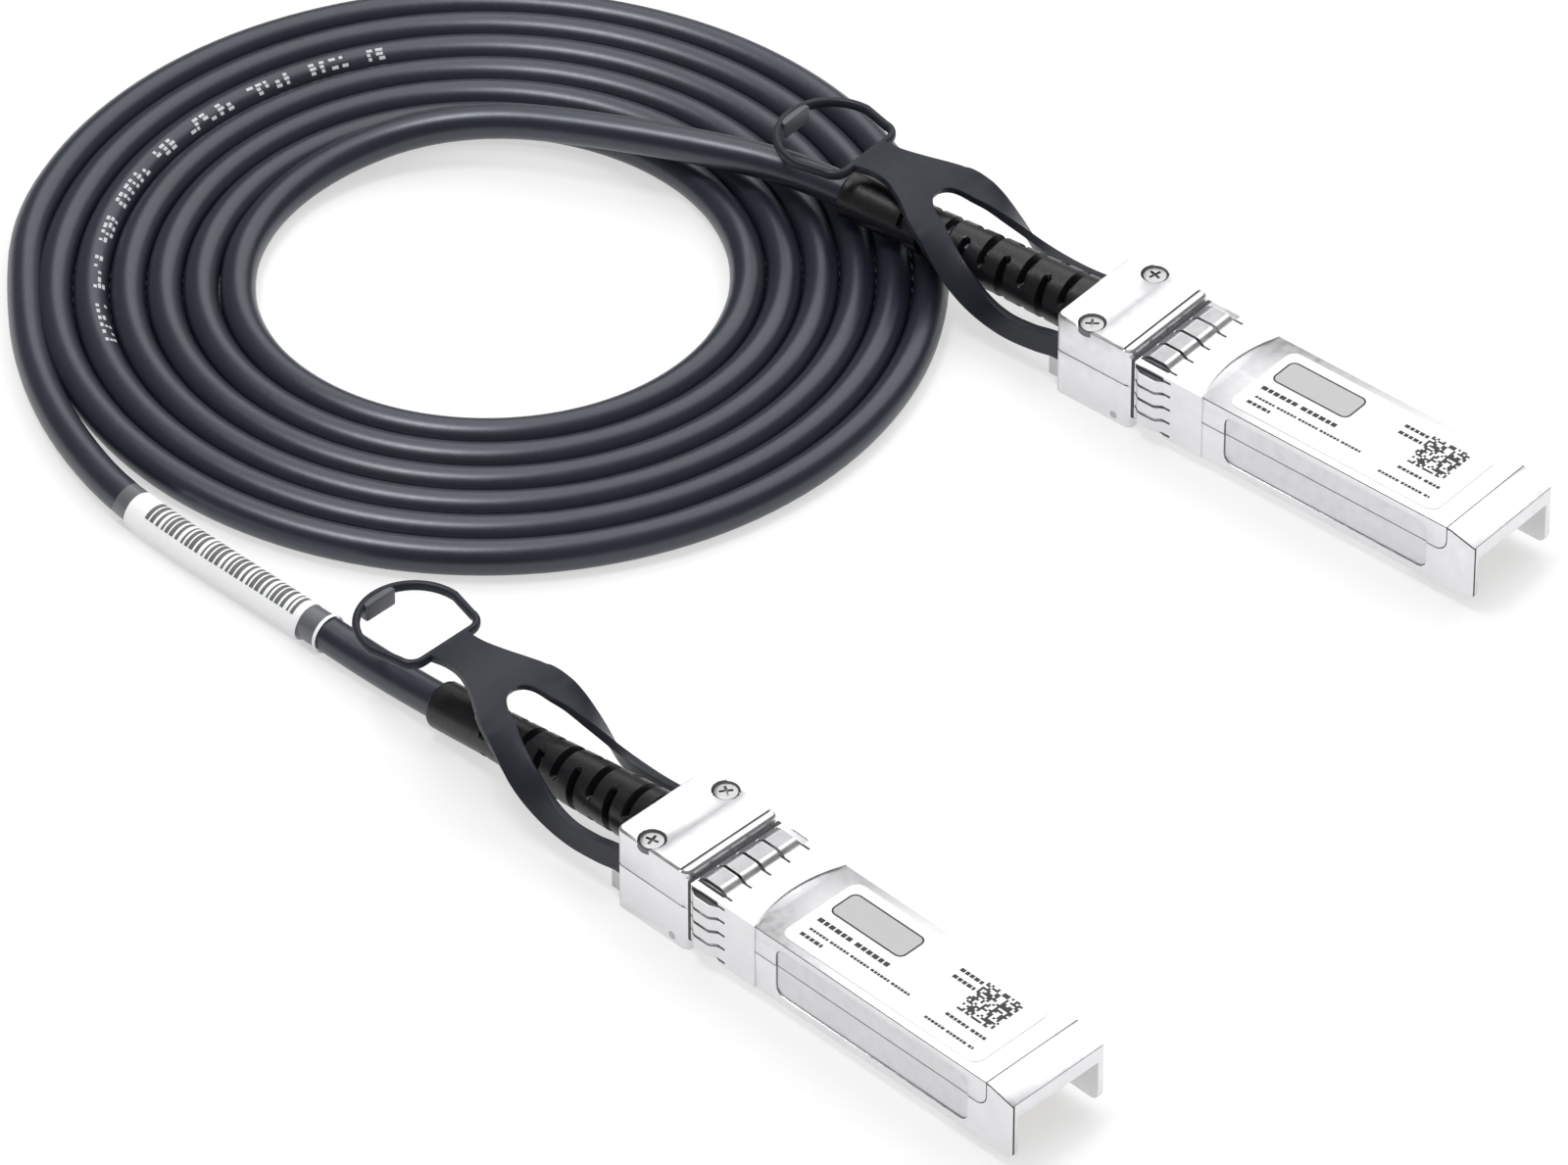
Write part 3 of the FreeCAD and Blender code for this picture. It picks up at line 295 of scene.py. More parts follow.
def board_finish():
    """Green solder mask over faint copper tracks."""
    material, shader = new_material("board_green")
    tracks = add_node(material, "ShaderNodeTexWave", {"Scale": 420.0, "Distortion": 2.0}, bands_direction="Y")
    feed(material, tracks, {"Vector": coordinates(material)})
    pattern = tracks.outputs["Fac"]
    feed(material, shader, {
        "Base Color": tinted(material, pattern, (0.010, 0.060, 0.026), (0.020, 0.105, 0.045)),
        "Roughness": 0.32,
        "Normal": bump(material, pattern, 0.2, 0.00003)})
    return material


def film_finish(name, colour, rough=0.42, glow=0.0):
    """Printed film: even, with a trace of paper grain, and painted light where it is given a glow."""
    material, shader = new_material(name)
    grain = noise(material, 700.0, detail=4.0)
    feed(material, shader, {
        "Base Color": tinted(material, spread(material, grain, 0.0, 1.0), shaded(colour, 0.975), colour),
        "Roughness": rough,
        "Emission Color": (*colour, 1.0),
        "Emission Strength": glow,
        "Normal": bump(material, grain, 0.1, 0.00001)})
    return material


def clear_finish():
    """Shrunk clear tube: mostly see-through, with a glossy skin."""
    material, shader = new_material("sleeve_clear")
    feed(material, shader, {
        "Roughness": spread(material, noise(material, 120.0, detail=1.0), 0.08, 0.14),
        "Base Color": (0.94, 0.95, 0.97, 1.0),
        "Alpha": 0.07})
    return material


MATERIALS = {}
ROLLED = (0.08, 1, 1)        # stretch of a grain along the plug


def make_materials():
    settings = bpy.context.scene
    plug, cable, moulding = settings.plug_sizes, settings.cable_sizes, settings.moulding_sizes
    plated, steel = tuple(plug.casting), tuple(plug.steel)
    MATERIALS.update({
        "casting": metal_finish("casting_plated", plated, 0.34, 900.0, specks=0.1),
        # recess floors: the casting's colour painted darker, as shade in the recesses
        "panel": metal_finish("casting_recess_shade", shaded(plated, 0.9), 0.42, 900.0, specks=0.1),
        "line": moulded_finish("deep_shadow", (0.07, 0.07, 0.075), 0.6, 900.0),
        "faint_line": moulded_finish("shallow_shadow", (0.26, 0.26, 0.27), 0.6, 900.0),
        "collar": metal_finish("collar_steel", shaded(plated, 0.95), 0.3, 700.0, stretch=ROLLED),
        # the top fingers' level backs: steel painted darker as shade
        "finger_shade": metal_finish("finger_back_shade", shaded(steel, 0.85), 0.4, 900.0),
        "pad": moulded_finish("tab_pad", (0.10, 0.105, 0.12), 0.4, 1900.0),
        "slider": metal_finish("slider_steel", shaded(steel, 0.9), 0.3, 700.0, stretch=ROLLED),
        "screw": metal_finish("screw_steel", shaded(steel, 0.85), 0.28, 1200.0),
        "latch": metal_finish("latch_zinc", shaded(steel, 0.95), 0.38, 900.0),
        "gold": metal_finish("contact_gold", (0.86, 0.62, 0.24), 0.2, 1500.0),
        "brass": metal_finish("ferrule_brass", (0.72, 0.56, 0.30), 0.3, 900.0),
        "board": board_finish(),
        "chip": moulded_finish("chip_epoxy", (0.022, 0.022, 0.024), 0.5, 1800.0),
        "ceramic": moulded_finish("capacitor_ceramic", (0.36, 0.27, 0.18), 0.45, 1500.0),
        "core": moulded_finish("core_insulation", (0.70, 0.70, 0.68), 0.4, 900.0),
        "rubber": moulded_finish("boot_rubber", tuple(moulding.rubber), 0.34, 2600.0, depth=0.00005),
        "nylon": moulded_finish("tab_nylon", tuple(moulding.nylon), 0.42, 1900.0, shine=0.28),
        "jacket": jacket_finish(tuple(cable.jacket)),
        "jacket_ink": film_finish("jacket_ink", tuple(cable.jacket_ink), 0.55),
        "label": film_finish("label_film", tuple(plug.label)),
        # the wrapped label glows a little: painted light that lifts its shaded lower side
        "wrap": film_finish("wrap_film_painted_glow", tuple(plug.label), glow=0.15),
        "ink": film_finish("label_ink", tuple(plug.ink), 0.6),
        "grey_ink": film_finish("label_grey", (0.55, 0.55, 0.56), 0.5),
        "clear": clear_finish(),
    })


# ---- mesh helpers

def link(obj):
    bpy.context.scene.collection.objects.link(obj)
    return obj


def object_from(mesh_data, name):
    """A new object from a bmesh, as it is."""
    mesh = bpy.data.meshes.new(name)
    mesh_data.to_mesh(mesh)
    mesh_data.free()
    return link(bpy.data.objects.new(name, mesh))


def piece_from(mesh_data, name, place=Matrix.Identity(4), scale=MM):
    """A new object from a bmesh, moved to its place in the row frame; scale=1.0 takes one in metres."""
    bmesh.ops.recalc_face_normals(mesh_data, faces=mesh_data.faces)
    mesh_data.transform(place @ Matrix.Scale(scale, 4))
    return object_from(mesh_data, name)


def finished_mesh(obj):
    """A new mesh of an object with its modifiers or its curve worked out."""
    depsgraph = bpy.context.evaluated_depsgraph_get()
    depsgraph.update()
    return bpy.data.meshes.new_from_object(obj.evaluated_get(depsgraph), depsgraph=depsgraph)


def applied(obj):
    """Turns an object's modifiers into its mesh."""
    mesh, old = finished_mesh(obj), obj.data
    obj.modifiers.clear()
    obj.data = mesh
    bpy.data.meshes.remove(old)
    return obj


def rounded_edges(obj, width, segments=2, angle=35.0):
    modifier = obj.modifiers.new("edges", "BEVEL")
    modifier.width = width
    modifier.segments = segments
    modifier.limit_method = "ANGLE"
    modifier.angle_limit = math.radians(angle)
    modifier.use_clamp_overlap = True
    return applied(obj)


def smooth_by_angle(obj, angle=35.0):
    """Smooth shading, with edges sharper than the angle kept crisp."""
    mesh = obj.data
    mesh.shade_smooth()
    mesh.set_sharp_from_angle(angle=math.radians(angle))
    return obj


def paint(obj, material):
    obj.data.materials.clear()
    obj.data.materials.append(MATERIALS[material])


def dress(obj, body, material, replaced=()):
    """Gives a finished piece its material, its body and the nodes that it stands for."""
    paint(obj, material)
    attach(obj, body)
    if replaced:
        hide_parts(*replaced)


def add_block(mesh_data, low, high):
    """A box between two corners."""
    (x0, y0, z0), (x1, y1, z1) = low, high
    corners = [mesh_data.verts.new((x, y, z)) for x in (x0, x1) for y in (y0, y1) for z in (z0, z1)]
    for face in ((0, 1, 3, 2), (4, 6, 7, 5), (0, 4, 5, 1), (2, 3, 7, 6), (0, 2, 6, 4), (1, 5, 7, 3)):
        mesh_data.faces.new([corners[i] for i in face])


def new_row(mesh_data, points):
    return [mesh_data.verts.new(point) for point in points]


def join_rows(mesh_data, before, after, closed=False):
    """Faces between two rows of corners, right round where they are closed."""
    count = len(before)
    for i in range(count if closed else count - 1):
        j = (i + 1) % count
        mesh_data.faces.new((before[i], before[j], after[j], after[i]))


def add_strip(mesh_data, edge_a, edge_b):
    """Joins two rows of points by faces."""
    join_rows(mesh_data, new_row(mesh_data, edge_a), new_row(mesh_data, edge_b))


def add_flat(mesh_data, low, high):
    """A rectangle between two corners, across x and y, x and z, or y and z."""
    (x0, y0, z0), (x1, y1, z1) = low, high
    if x0 == x1:
        add_strip(mesh_data, [(x0, y0, z0), (x0, y1, z0)], [(x0, y0, z1), (x0, y1, z1)])
    else:
        add_strip(mesh_data, [(x0, y0, z0), (x1, y0, z0)], [(x0, y1, z1), (x1, y1, z1)])


def add_rings(mesh_data, rings, round_again=False):
    """Joins rings into a skin, which is closed at its ends or runs on into its first ring again."""
    rows = [new_row(mesh_data, ring) for ring in rings]
    for before, after in zip(rows, rows[1:] + rows[:1] if round_again else rows[1:]):
        join_rows(mesh_data, before, after, closed=True)
    if not round_again:
        mesh_data.faces.new(rows[0])
        mesh_data.faces.new(rows[-1][::-1])


def spaced(first, last, steps):
    """Values in equal steps, from the first to the last."""
    return [first + (last - first) * k / steps for k in range(steps + 1)]


def full_circle(sides):
    return spaced(0, 360, sides)[:-1]


def arc_points(centre, radius, first, last, steps=8):
    """Points of an arc in a plane; angles in degrees."""
    turns = [math.radians(angle) for angle in spaced(first, last, steps)]
    return [(centre[0] + radius * math.cos(turn), centre[1] + radius * math.sin(turn)) for turn in turns]


def circle_points(radius, sides):
    return arc_points((0, 0), radius, 0, 360, sides)[:-1]


def points_round(centre, along, angles, radius_at):
    """Points round an axis; an angle in degrees counts from its level side, and 90 is its top."""
    level = Vector((0, 0, 1)).cross(along).normalized()
    rise = along.cross(level)
    points = []
    for angle in angles:
        turn = math.radians(angle)
        points.append(centre + (level * math.cos(turn) + rise * math.sin(turn)) * radius_at(angle))
    return points


def smooth_step(value):
    value = min(max(value, 0.0), 1.0)
    return value * value * (3 - 2 * value)


def smooth_row(stations, steps):
    """Points on a smooth curve through stations, whose first value is the distance; steps per span."""
    slopes = []
    for i in range(len(stations)):
        before, after = stations[max(i - 1, 0)], stations[min(i + 1, len(stations) - 1)]
        slopes.append([(b - a) / (after[0] - before[0]) for a, b in zip(before, after)])
    result = []
    for i in range(len(stations) - 1):
        span = stations[i + 1][0] - stations[i][0]
        for k in range(steps):
            t = k / steps
            start, end = 2 * t ** 3 - 3 * t ** 2 + 1, 3 * t ** 2 - 2 * t ** 3
            leave, reach = (t ** 3 - 2 * t ** 2 + t) * span, (t ** 3 - t ** 2) * span
            result.append(tuple(
                a * start + b * end + m * leave + n * reach
                for a, b, m, n in zip(stations[i], stations[i + 1], slopes[i], slopes[i + 1])))
    result.append(tuple(stations[-1]))
    return result


# ---- repeats (Geometry Nodes)

def copies_tree():
    """A tree that puts one item on each point, turned by the point's 'turn', and gives it a material."""
    tree = bpy.data.node_groups.new("copies_on_points", "GeometryNodeTree")
    for name, way, kind in (
        ("Geometry", "INPUT", "NodeSocketGeometry"), ("Item", "INPUT", "NodeSocketObject"),
        ("Item size", "INPUT", "NodeSocketFloat"), ("Finish", "INPUT", "NodeSocketMaterial"),
        ("Geometry", "OUTPUT", "NodeSocketGeometry"),
    ):
        tree.interface.new_socket(name, in_out=way, socket_type=kind)
    entry, leave, points, item, turn, stretch, to_turn, sized, put, real, finish = [
        tree.nodes.new(kind) for kind in (
            "NodeGroupInput", "NodeGroupOutput", "GeometryNodeMeshToPoints", "GeometryNodeObjectInfo",
            "GeometryNodeInputNamedAttribute", "GeometryNodeInputNamedAttribute",
            "FunctionNodeEulerToRotation", "ShaderNodeVectorMath", "GeometryNodeInstanceOnPoints",
            "GeometryNodeRealizeInstances", "GeometryNodeSetMaterial")]
    sized.operation = "SCALE"
    for node, name in ((turn, "turn"), (stretch, "stretch")):
        node.data_type = "FLOAT_VECTOR"
        node.inputs["Name"].default_value = name
    for source, output, target, entered in (
        (entry, "Geometry", points, "Mesh"),
        (entry, "Item", item, "Object"),
        (points, "Points", put, "Points"),
        (item, "Geometry", put, "Instance"),
        (turn, "Attribute", to_turn, "Euler"),
        (to_turn, "Rotation", put, "Rotation"),
        (stretch, "Attribute", sized, 0),
        (entry, "Item size", sized, "Scale"),
        (sized, "Vector", put, "Scale"),
        (put, "Instances", real, "Geometry"),
        (real, "Geometry", finish, "Geometry"),
        (entry, "Finish", finish, "Material"),
        (finish, "Geometry", leave, "Geometry"),
    ):
        tree.links.new(source.outputs[output], target.inputs[entered])
    return tree


def copies(name, item, spots, place, material):
    """One mesh of an item repeated at spots: (point, turn about x/y/z in radians, stretch) in millimetres."""
    tree = bpy.data.node_groups.get("copies_on_points") or copies_tree()
    mesh = bpy.data.meshes.new(name)
    mesh.from_pydata([point for point, _, _ in spots], [], [])
    for attribute, index in (("turn", 1), ("stretch", 2)):
        layer = mesh.attributes.new(attribute, "FLOAT_VECTOR", "POINT")
        for i, spot in enumerate(spots):
            layer.data[i].vector = spot[index]
    obj = link(bpy.data.objects.new(name, mesh))
    modifier = obj.modifiers.new("copies", "NODES")
    modifier.node_group = tree
    inputs = {s.name: s.identifier for s in tree.interface.items_tree if s.in_out == "INPUT"}
    modifier[inputs["Item"]] = item
    modifier[inputs["Item size"]] = 1.0
    modifier[inputs["Finish"]] = MATERIALS[material]
    applied(obj)
    obj.data.transform(place @ Matrix.Scale(MM, 4))
    return obj


def item_object(mesh_data, name):
    """A template for copies, in millimetres; it is removed once it has been used."""
    return piece_from(mesh_data, name, scale=1.0)


def discard(obj):
    bpy.data.objects.remove(obj, do_unlink=True)


# ---- cable

def coil_points():
    """The coil's turns, in millimetres: a slightly oval spiral, wound clockwise inwards."""
    hold_out = 1 / math.cos(math.radians(COIL_STEP / 2))
    points = []
    turned = COIL_FIRST
    while turned < COIL_TURNS * 360:
        around = COIL_LONG_AXIS + 180 - turned
        oval = COIL_OVAL * math.cos(math.radians(2 * (around - COIL_LONG_AXIS)))
        radius = (COIL_R - COIL_PITCH * turned / 360 + oval) * hold_out
        angle = math.radians(around)
        x, y = COIL_CENTRE[0] + radius * math.cos(angle), COIL_CENTRE[1] + radius * math.sin(angle)
        points.append((x, y, COIL_Z))
        turned += COIL_STEP
    return points


def cable_route():
    """The whole cable's points from boot A to boot B, in metres."""
    middle = [Vector(point) * MM for point in (*LEAD_A, *coil_points(), *LEAD_B)]
    return [boot_exit("a"), boot_exit("a", LEAD_START), *middle, boot_exit("b", LEAD_START), boot_exit("b")]


def route_curve(name, bevel):
    data = bpy.data.curves.new(name, "CURVE")
    data.dimensions = "3D"
    spline = data.splines.new("NURBS")
    route = cable_route()
    spline.points.add(len(route) - 1)
    for point, place in zip(spline.points, route):
        point.co = (*place, 1.0)
    spline.order_u = 3
    spline.use_endpoint_u = True
    spline.resolution_u = 6
    data.bevel_depth = bevel
    data.bevel_resolution = 7
    data.use_fill_caps = True
    return link(bpy.data.objects.new(name, data))


def measured_route():
    """The cable's centre line as (distance from boot A, point) pairs, read from its curve."""
    obj = route_curve("route_reading", 0.0)
    mesh = finished_mesh(obj)
    route = [(0.0, mesh.vertices[0].co.copy())]
    for vertex in mesh.vertices[1:]:
        distance, point = route[-1]
        route.append((distance + (vertex.co - point).length, vertex.co.copy()))
    bpy.data.meshes.remove(mesh)
    discard(obj)
    return route


def route_at(route, distance):
    """The point and direction of the route at a distance along it."""
    i = 1
    while i < len(route) - 1 and route[i][0] < distance:
        i += 1
    (passed, before), (reached, after) = route[i - 1], route[i]
    run = after - before
    return before + run * ((distance - passed) / (reached - passed)), run.normalized()


WRAP_ROWS = 24
WRAP_SIDES = 60
LOOSE_MIDDLE = -24.0         # degrees round the cable: 0 is its near side, 90 its top
LOOSE_NARROWING = 1.4        # how much less than half round a wrap is loose


def loose_radius(radius, angle, loose):
    """The radius of a wrap that stands off the cable's lower near side by up to loose."""
    off = ((angle - LOOSE_MIDDLE + 180) % 360 - 180) * LOOSE_NARROWING
    if abs(off) >= 90:
        return radius
    return radius + loose * math.cos(math.radians(off)) ** 2


def wrap_patch(mesh_data, route, start, end, radius, angles):
    """A patch that lies round the cable, from one distance to another and over a row of angles."""
    add_strip(mesh_data, *[points_round(*route_at(route, distance), angles, lambda angle: radius)
                           for distance in (start, end)])


def wrap_tube(mesh_data, route, start, end, inner, outer, loose):
    """A tube with a wall that follows the cable, loose on the cable's lower near side."""
    distances = spaced(start, end, WRAP_ROWS)
    rings = []
    for radius, order in ((outer, distances), (inner, distances[::-1])):
        for distance in order:
            rings.append(points_round(*route_at(route, distance), full_circle(WRAP_SIDES),
                                      lambda angle: loose_radius(radius, angle, loose)))
    add_rings(mesh_data, rings, round_again=True)


JACKET_SWELL = 0.000025      # the turns all but touch


class CABLE_OT_jacket(bpy.types.Operator):
    """Lay the cable along its route and coil."""
    bl_idname = "cable.jacket"
    bl_label = "Cable"

    def execute(self, context):
        sizes = context.scene.cable_sizes
        cable = route_curve("twinax_cable", sizes.diameter / 2 + JACKET_SWELL)
        dress(cable, "cable", "jacket", ("cable_lead_a", "cable_lead_b", "cable_coil"))
        return {"FINISHED"}


SLEEVE_FROM = 0.0175         # from boot A's end, in metres
SLEEVE_TO = 0.0488
LABEL_WRAP_FROM = 0.0205
LABEL_WRAP_TO = 0.0470
BAR_RUN_FROM = 0.0215
BAR_RUN_TO = 0.0445
BARS = 30
BAR_ANGLES = (42.0, 131.0)
BAR_OUT = 0.00011            # over the cable's radius
SLEEVE_OUT = (0.00016, 0.00024)
# a ring of white film at the sleeve's end: a painted highlight
SLEEVE_HIGHLIGHT_OUT = (0.00017, 0.00026)
SLEEVE_HIGHLIGHT_L = 0.0004
LABEL_OUT = (0.00004, 0.00009)
SLEEVE_LOOSE = 0.00048
LABEL_LOOSE = 0.00026


def bar_share(i):
    """A bar's share of its pitch: uneven, from a rule, so that the bars stand for nothing."""
    return 0.32 + 0.42 * abs(math.sin(i * 2.4 + 0.7))


class CABLE_OT_sleeve(bpy.types.Operator):
    """Thread the wrapped label and its clear sleeve on lead A."""
    bl_idname = "cable.sleeve"
    bl_label = "Cable label"

    def execute(self, context):
        radius = context.scene.cable_sizes.diameter / 2
        route = measured_route()

        def wrap(mesh_data, start, end, out, loose=0.0):
            wrap_tube(mesh_data, route, start, end, radius + out[0], radius + out[1], loose)

        sleeve, label, bars = bmesh.new(), bmesh.new(), bmesh.new()
        wrap(sleeve, SLEEVE_FROM, SLEEVE_TO, SLEEVE_OUT, SLEEVE_LOOSE)
        wrap(label, LABEL_WRAP_FROM, LABEL_WRAP_TO, LABEL_OUT, LABEL_LOOSE)
        # a painted highlight: a thin white ring at the sleeve's end
        wrap(label, SLEEVE_FROM, SLEEVE_FROM + SLEEVE_HIGHLIGHT_L, SLEEVE_HIGHLIGHT_OUT)
        pitch = (BAR_RUN_TO - BAR_RUN_FROM) / BARS
        for i in range(BARS):
            start = BAR_RUN_FROM + i * pitch
            wrap_patch(bars, route, start, start + pitch * bar_share(i), radius + BAR_OUT,
                       spaced(*BAR_ANGLES, 10))
        dress(smooth_by_angle(piece_from(sleeve, "clear_sleeve", scale=1.0)), "cable", "clear",
              ("label_sleeve",))
        # the wrapped label and the white ring, both in the glowing film: painted light
        dress(smooth_by_angle(piece_from(label, "cable_label", scale=1.0)), "cable", "wrap")
        dress(piece_from(bars, "cable_label_bars", scale=1.0), "cable", "ink")
        return {"FINISHED"}


MARK_RUN = (0.662, 0.729)    # stretch of the cable that carries marks, from boot A's end, in metres
MARK_PITCH = 0.00125
MARK_GAPS = (6, 5, 4, 6, 3)  # marks between gaps
MARK_ANGLES = ((99.0, 110.0), (114.0, 125.0), (129.0, 140.0))
MARK_SHARE = 0.8             # of the places that carry a mark
MARK_SHIFT = (0.0, 0.25)     # share of the pitch at which a mark starts
MARK_LENGTH = (0.3, 0.7)
MARK_GAP = 1.6
MARK_OUT = 0.00003
MARK_SEED = 3


class CABLE_OT_jacket_marks(bpy.types.Operator):
    """Print a row of small plain marks along the jacket."""
    bl_idname = "cable.jacket_marks"
    bl_label = "Jacket marks"

    def execute(self, context):
        radius = context.scene.cable_sizes.diameter / 2 + MARK_OUT
        route = measured_route()
        marks = bmesh.new()
        dice = random.Random(MARK_SEED)
        start, group, left = MARK_RUN[0], 0, MARK_GAPS[0]
        while start < MARK_RUN[1]:
            for first, last in MARK_ANGLES:
                if dice.random() < MARK_SHARE:
                    begin = start + MARK_PITCH * dice.uniform(*MARK_SHIFT)
                    end = begin + MARK_PITCH * dice.uniform(*MARK_LENGTH)
                    wrap_patch(marks, route, begin, end, radius, spaced(first, last, 3))
            start, left = start + MARK_PITCH, left - 1
            if left == 0:
                group += 1
                start, left = start + MARK_GAP * MARK_PITCH, MARK_GAPS[group % len(MARK_GAPS)]
        dress(piece_from(marks, "jacket_marks", scale=1.0), "cable", "jacket_ink")
        return {"FINISHED"}


# ---- castings and what stays as it is

# a node's body, where {} stands for its plug, its material and its slot
CASTINGS = {
    "base_housing": ("cable", "casting", "cast_zinc"),
    "top_cover": ("cable", "casting", "cast_zinc"),
    "latch_rocker": ("rocker_{}", "latch", "latch_zinc"),
    "latch_slider": ("pull_{}", "slider", "slider_steel"),
}
KEPT_FINISH = {
    "paddle_card": "board", "memory_chip": "chip", "card_capacitors": "ceramic", "cable_cores": "core",
    "crimp_ferrule": "brass", "cable_end": "jacket", "latch_pin": "screw", "cover_label": "label",
}
FLAT_ANGLE = 1.0             # degrees between faces that count as one
SOFT_ANGLE = 38.0            # degrees from which an edge is rounded
SPRING_EDGE = 0.00004


def softened_copy(node, width):
    """A copy of a CAD node, merged to whole faces, with its edges rounded."""
    mesh_data = bmesh.new()
    mesh_data.from_mesh(NODES[node].data)
    bmesh.ops.remove_doubles(mesh_data, verts=mesh_data.verts, dist=1e-6)
    bmesh.ops.dissolve_limit(mesh_data, angle_limit=math.radians(FLAT_ANGLE), verts=mesh_data.verts,
                             edges=mesh_data.edges)
    copy = object_from(mesh_data, "soft_" + node)
    return smooth_by_angle(rounded_edges(copy, width, angle=SOFT_ANGLE), 40.0)


class CABLE_OT_castings(bpy.types.Operator):
    """Round the edges of the castings, the latch and the slider, and plate them."""
    bl_idname = "cable.castings"
    bl_label = "Castings and latch"

    def execute(self, context):
        width = context.scene.plug_sizes.edge
        for letter in "ab":
            for part, (body, material, slot) in CASTINGS.items():
                node = "%s_%s" % (part, letter)
                dress(softened_copy(node, width), body.format(letter), material, (node,))
        return {"FINISHED"}


class CABLE_OT_kept_parts(bpy.types.Operator):
    """Give the parts that keep their own form their finishes."""
    bl_idname = "cable.kept_parts"
    bl_label = "Inner parts"

    def execute(self, context):
        for letter in "ab":
            for part, material in KEPT_FINISH.items():
                paint(NODES["%s_%s" % (part, letter)], material)
        return {"FINISHED"}


class CABLE_OT_springs(bpy.types.Operator):
    """Round the edges of the return springs and give them the collar's steel."""
    bl_idname = "cable.springs"
    bl_label = "Return springs"

    def execute(self, context):
        for letter in "ab":
            node = "return_springs_" + letter
            springs = softened_copy(node, SPRING_EDGE)
            paint(springs, "collar")
            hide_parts(node)
            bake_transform(springs)
        return {"FINISHED"}


# ---- seams and recesses

BODY_HALF = 6.7
SHELL_HALF = 6.8
SHELL_TOP = 10.9
SHELL_R = 0.8
SHELL_SEAM_Z = 5.93
BODY_SEAM_Z = 6.38
FLAP_X = 43.67
FLAP_R = 1.6
RECESS = (13.0, 2.5, 41.0, 9.0)     # x, z, x, z on each side of the body
RECESS_R = 1.2
RECESS_FLOOR = 6.52
RECESS_LINE = (0.02, 0.12)          # from and to, inside the recess's outline, of its line of painted shade
COLLAR_TOP = 9.9
GROOVE = (-1.2, -0.9, 10.65)        # x, x, height of its floor
LINE_W = 0.11
LINE_LIFT = 0.008            # of a line off the face that it lies on
SLOPE_X = 44.2               # where the roof starts to fall to the tip
TIP_EDGE = 9.13
EDGE_W = 0.13                # shaded line under the roof's long edges
TIP_EDGE_W = 0.24            # the same along the tip
EDGE_DROP = 0.03
TIP_FACE = BODY_L + 0.002    # where lines lie on the tip's face
CORNER_LINE = (0.01, 0.28, 2.2)     # from and to, inside the tip's corner, and z from, of a line of painted shade
SHOULDER_GAP = (0.03, 0.5, 1.75)    # x, x, z from, of a painted shadow between the shoulder and the collar's fingers
GROOVE_MARGIN = 0.3          # of the groove's lines, from the shell's sides
RIM_MARGIN = 0.02            # of the groove's lines, from the shell's top
TIP_MARGIN = 0.1             # of the tip's top line, from the body's sides
POCKET_MARGIN = 0.1          # of the painted shade round the pockets, from the shell's top


def side_seam(width):
    """The open line between base and cover on a body side: two rows of (x, z), past the recess."""
    rows = []
    for half in (-width / 2, width / 2):
        centre = (FLAP_X - FLAP_R, BODY_SEAM_Z + FLAP_R)
        bend = arc_points(centre, FLAP_R - half, -90, 0)
        rows.append([(RECESS[2], BODY_SEAM_Z + half)] + bend + [(FLAP_X - half, BODY_TOP)])
    return rows


def plug_lines():
    """Dark lines where the castings meet, painted shade under the roof's edges and at the tip's corner, and a
    painted shadow behind the collar.
    """
    mesh_data = bmesh.new()
    low, high = BODY_SEAM_Z - LINE_W / 2, BODY_SEAM_Z + LINE_W / 2
    roof = [(COLLAR_L, BODY_TOP - EDGE_DROP), (SLOPE_X, BODY_TOP - EDGE_DROP), (BODY_L, TIP_EDGE - EDGE_DROP)]
    tip = [(FLAP_X, BODY_TOP - EDGE_DROP)] + roof[1:]
    reach = SHELL_R + LINE_LIFT
    plan = arc_points((-SHELL_L + SHELL_R, SHELL_HALF - SHELL_R), reach, 150, 90)
    plan += arc_points((-SHELL_R, SHELL_HALF - SHELL_R), reach, 90, 0)
    for side in (-1, 1):
        y, deep = side * (BODY_HALF + LINE_LIFT), side * (RECESS_FLOOR + 2 * LINE_LIFT)
        add_strip(mesh_data, *[[(x, y, z) for x, z in row] for row in side_seam(LINE_W)])
        add_flat(mesh_data, (COLLAR_L, y, low), (RECESS[0], y, high))
        add_flat(mesh_data, (RECESS[0], deep, low), (RECESS[2], deep, high))
        # painted shade under the roof's long edges, wider along the tip
        for edge, start, end in ((roof, 0, EDGE_W), (tip, EDGE_W, TIP_EDGE_W)):
            add_strip(mesh_data, *[[(x, y, z - drop) for x, z in edge] for drop in (start, end)])
        add_strip(mesh_data, *[[(x, side * y, SHELL_SEAM_Z + lift) for x, y in plan]
                               for lift in (-LINE_W / 2, LINE_W / 2)])
    across, top = FLAP_X - LINE_W / 2, BODY_TOP + LINE_LIFT
    add_strip(mesh_data, *[[(x, -BODY_HALF, top), (x, BODY_HALF, top)] for x in (across, across + LINE_W)])
    # a painted shadow across the gap between the shoulder and the collar's fingers
    start, end, foot = SHOULDER_GAP
    half, top = BODY_HALF + LINE_LIFT, COLLAR_TOP + LINE_LIFT
    gap = [(-half, foot), (-half, top), (half, top), (half, foot)]
    add_strip(mesh_data, *[[(x, y, z) for y, z in gap] for x in (start, end)])
    # painted shade down the tip's near corner
    *insets, foot = CORNER_LINE
    add_strip(mesh_data, *[[(TIP_FACE, inset - BODY_HALF, foot), (TIP_FACE, inset - BODY_HALF, tip[-1][1])]
                           for inset in insets])
    return mesh_data


def recess_outline(y, inset):
    """The outline of a side recess at an inset, at that y."""
    x0, z0, x1, z1 = RECESS
    outline = rounded_loop(x0 + inset, z0 + inset, x1 - inset, z1 - inset, RECESS_R - inset, 0.0)
    return [(x, y, z) for x, z, _ in outline]


def recess_panels():
    """The floors of the side recesses, painted a touch darker than the castings as shade, and rougher."""
    mesh_data = bmesh.new()
    for y in (-RECESS_FLOOR - LINE_LIFT, RECESS_FLOOR + LINE_LIFT):
        mesh_data.faces.new(new_row(mesh_data, recess_outline(y, RECESS_LINE[0])))
    return mesh_data


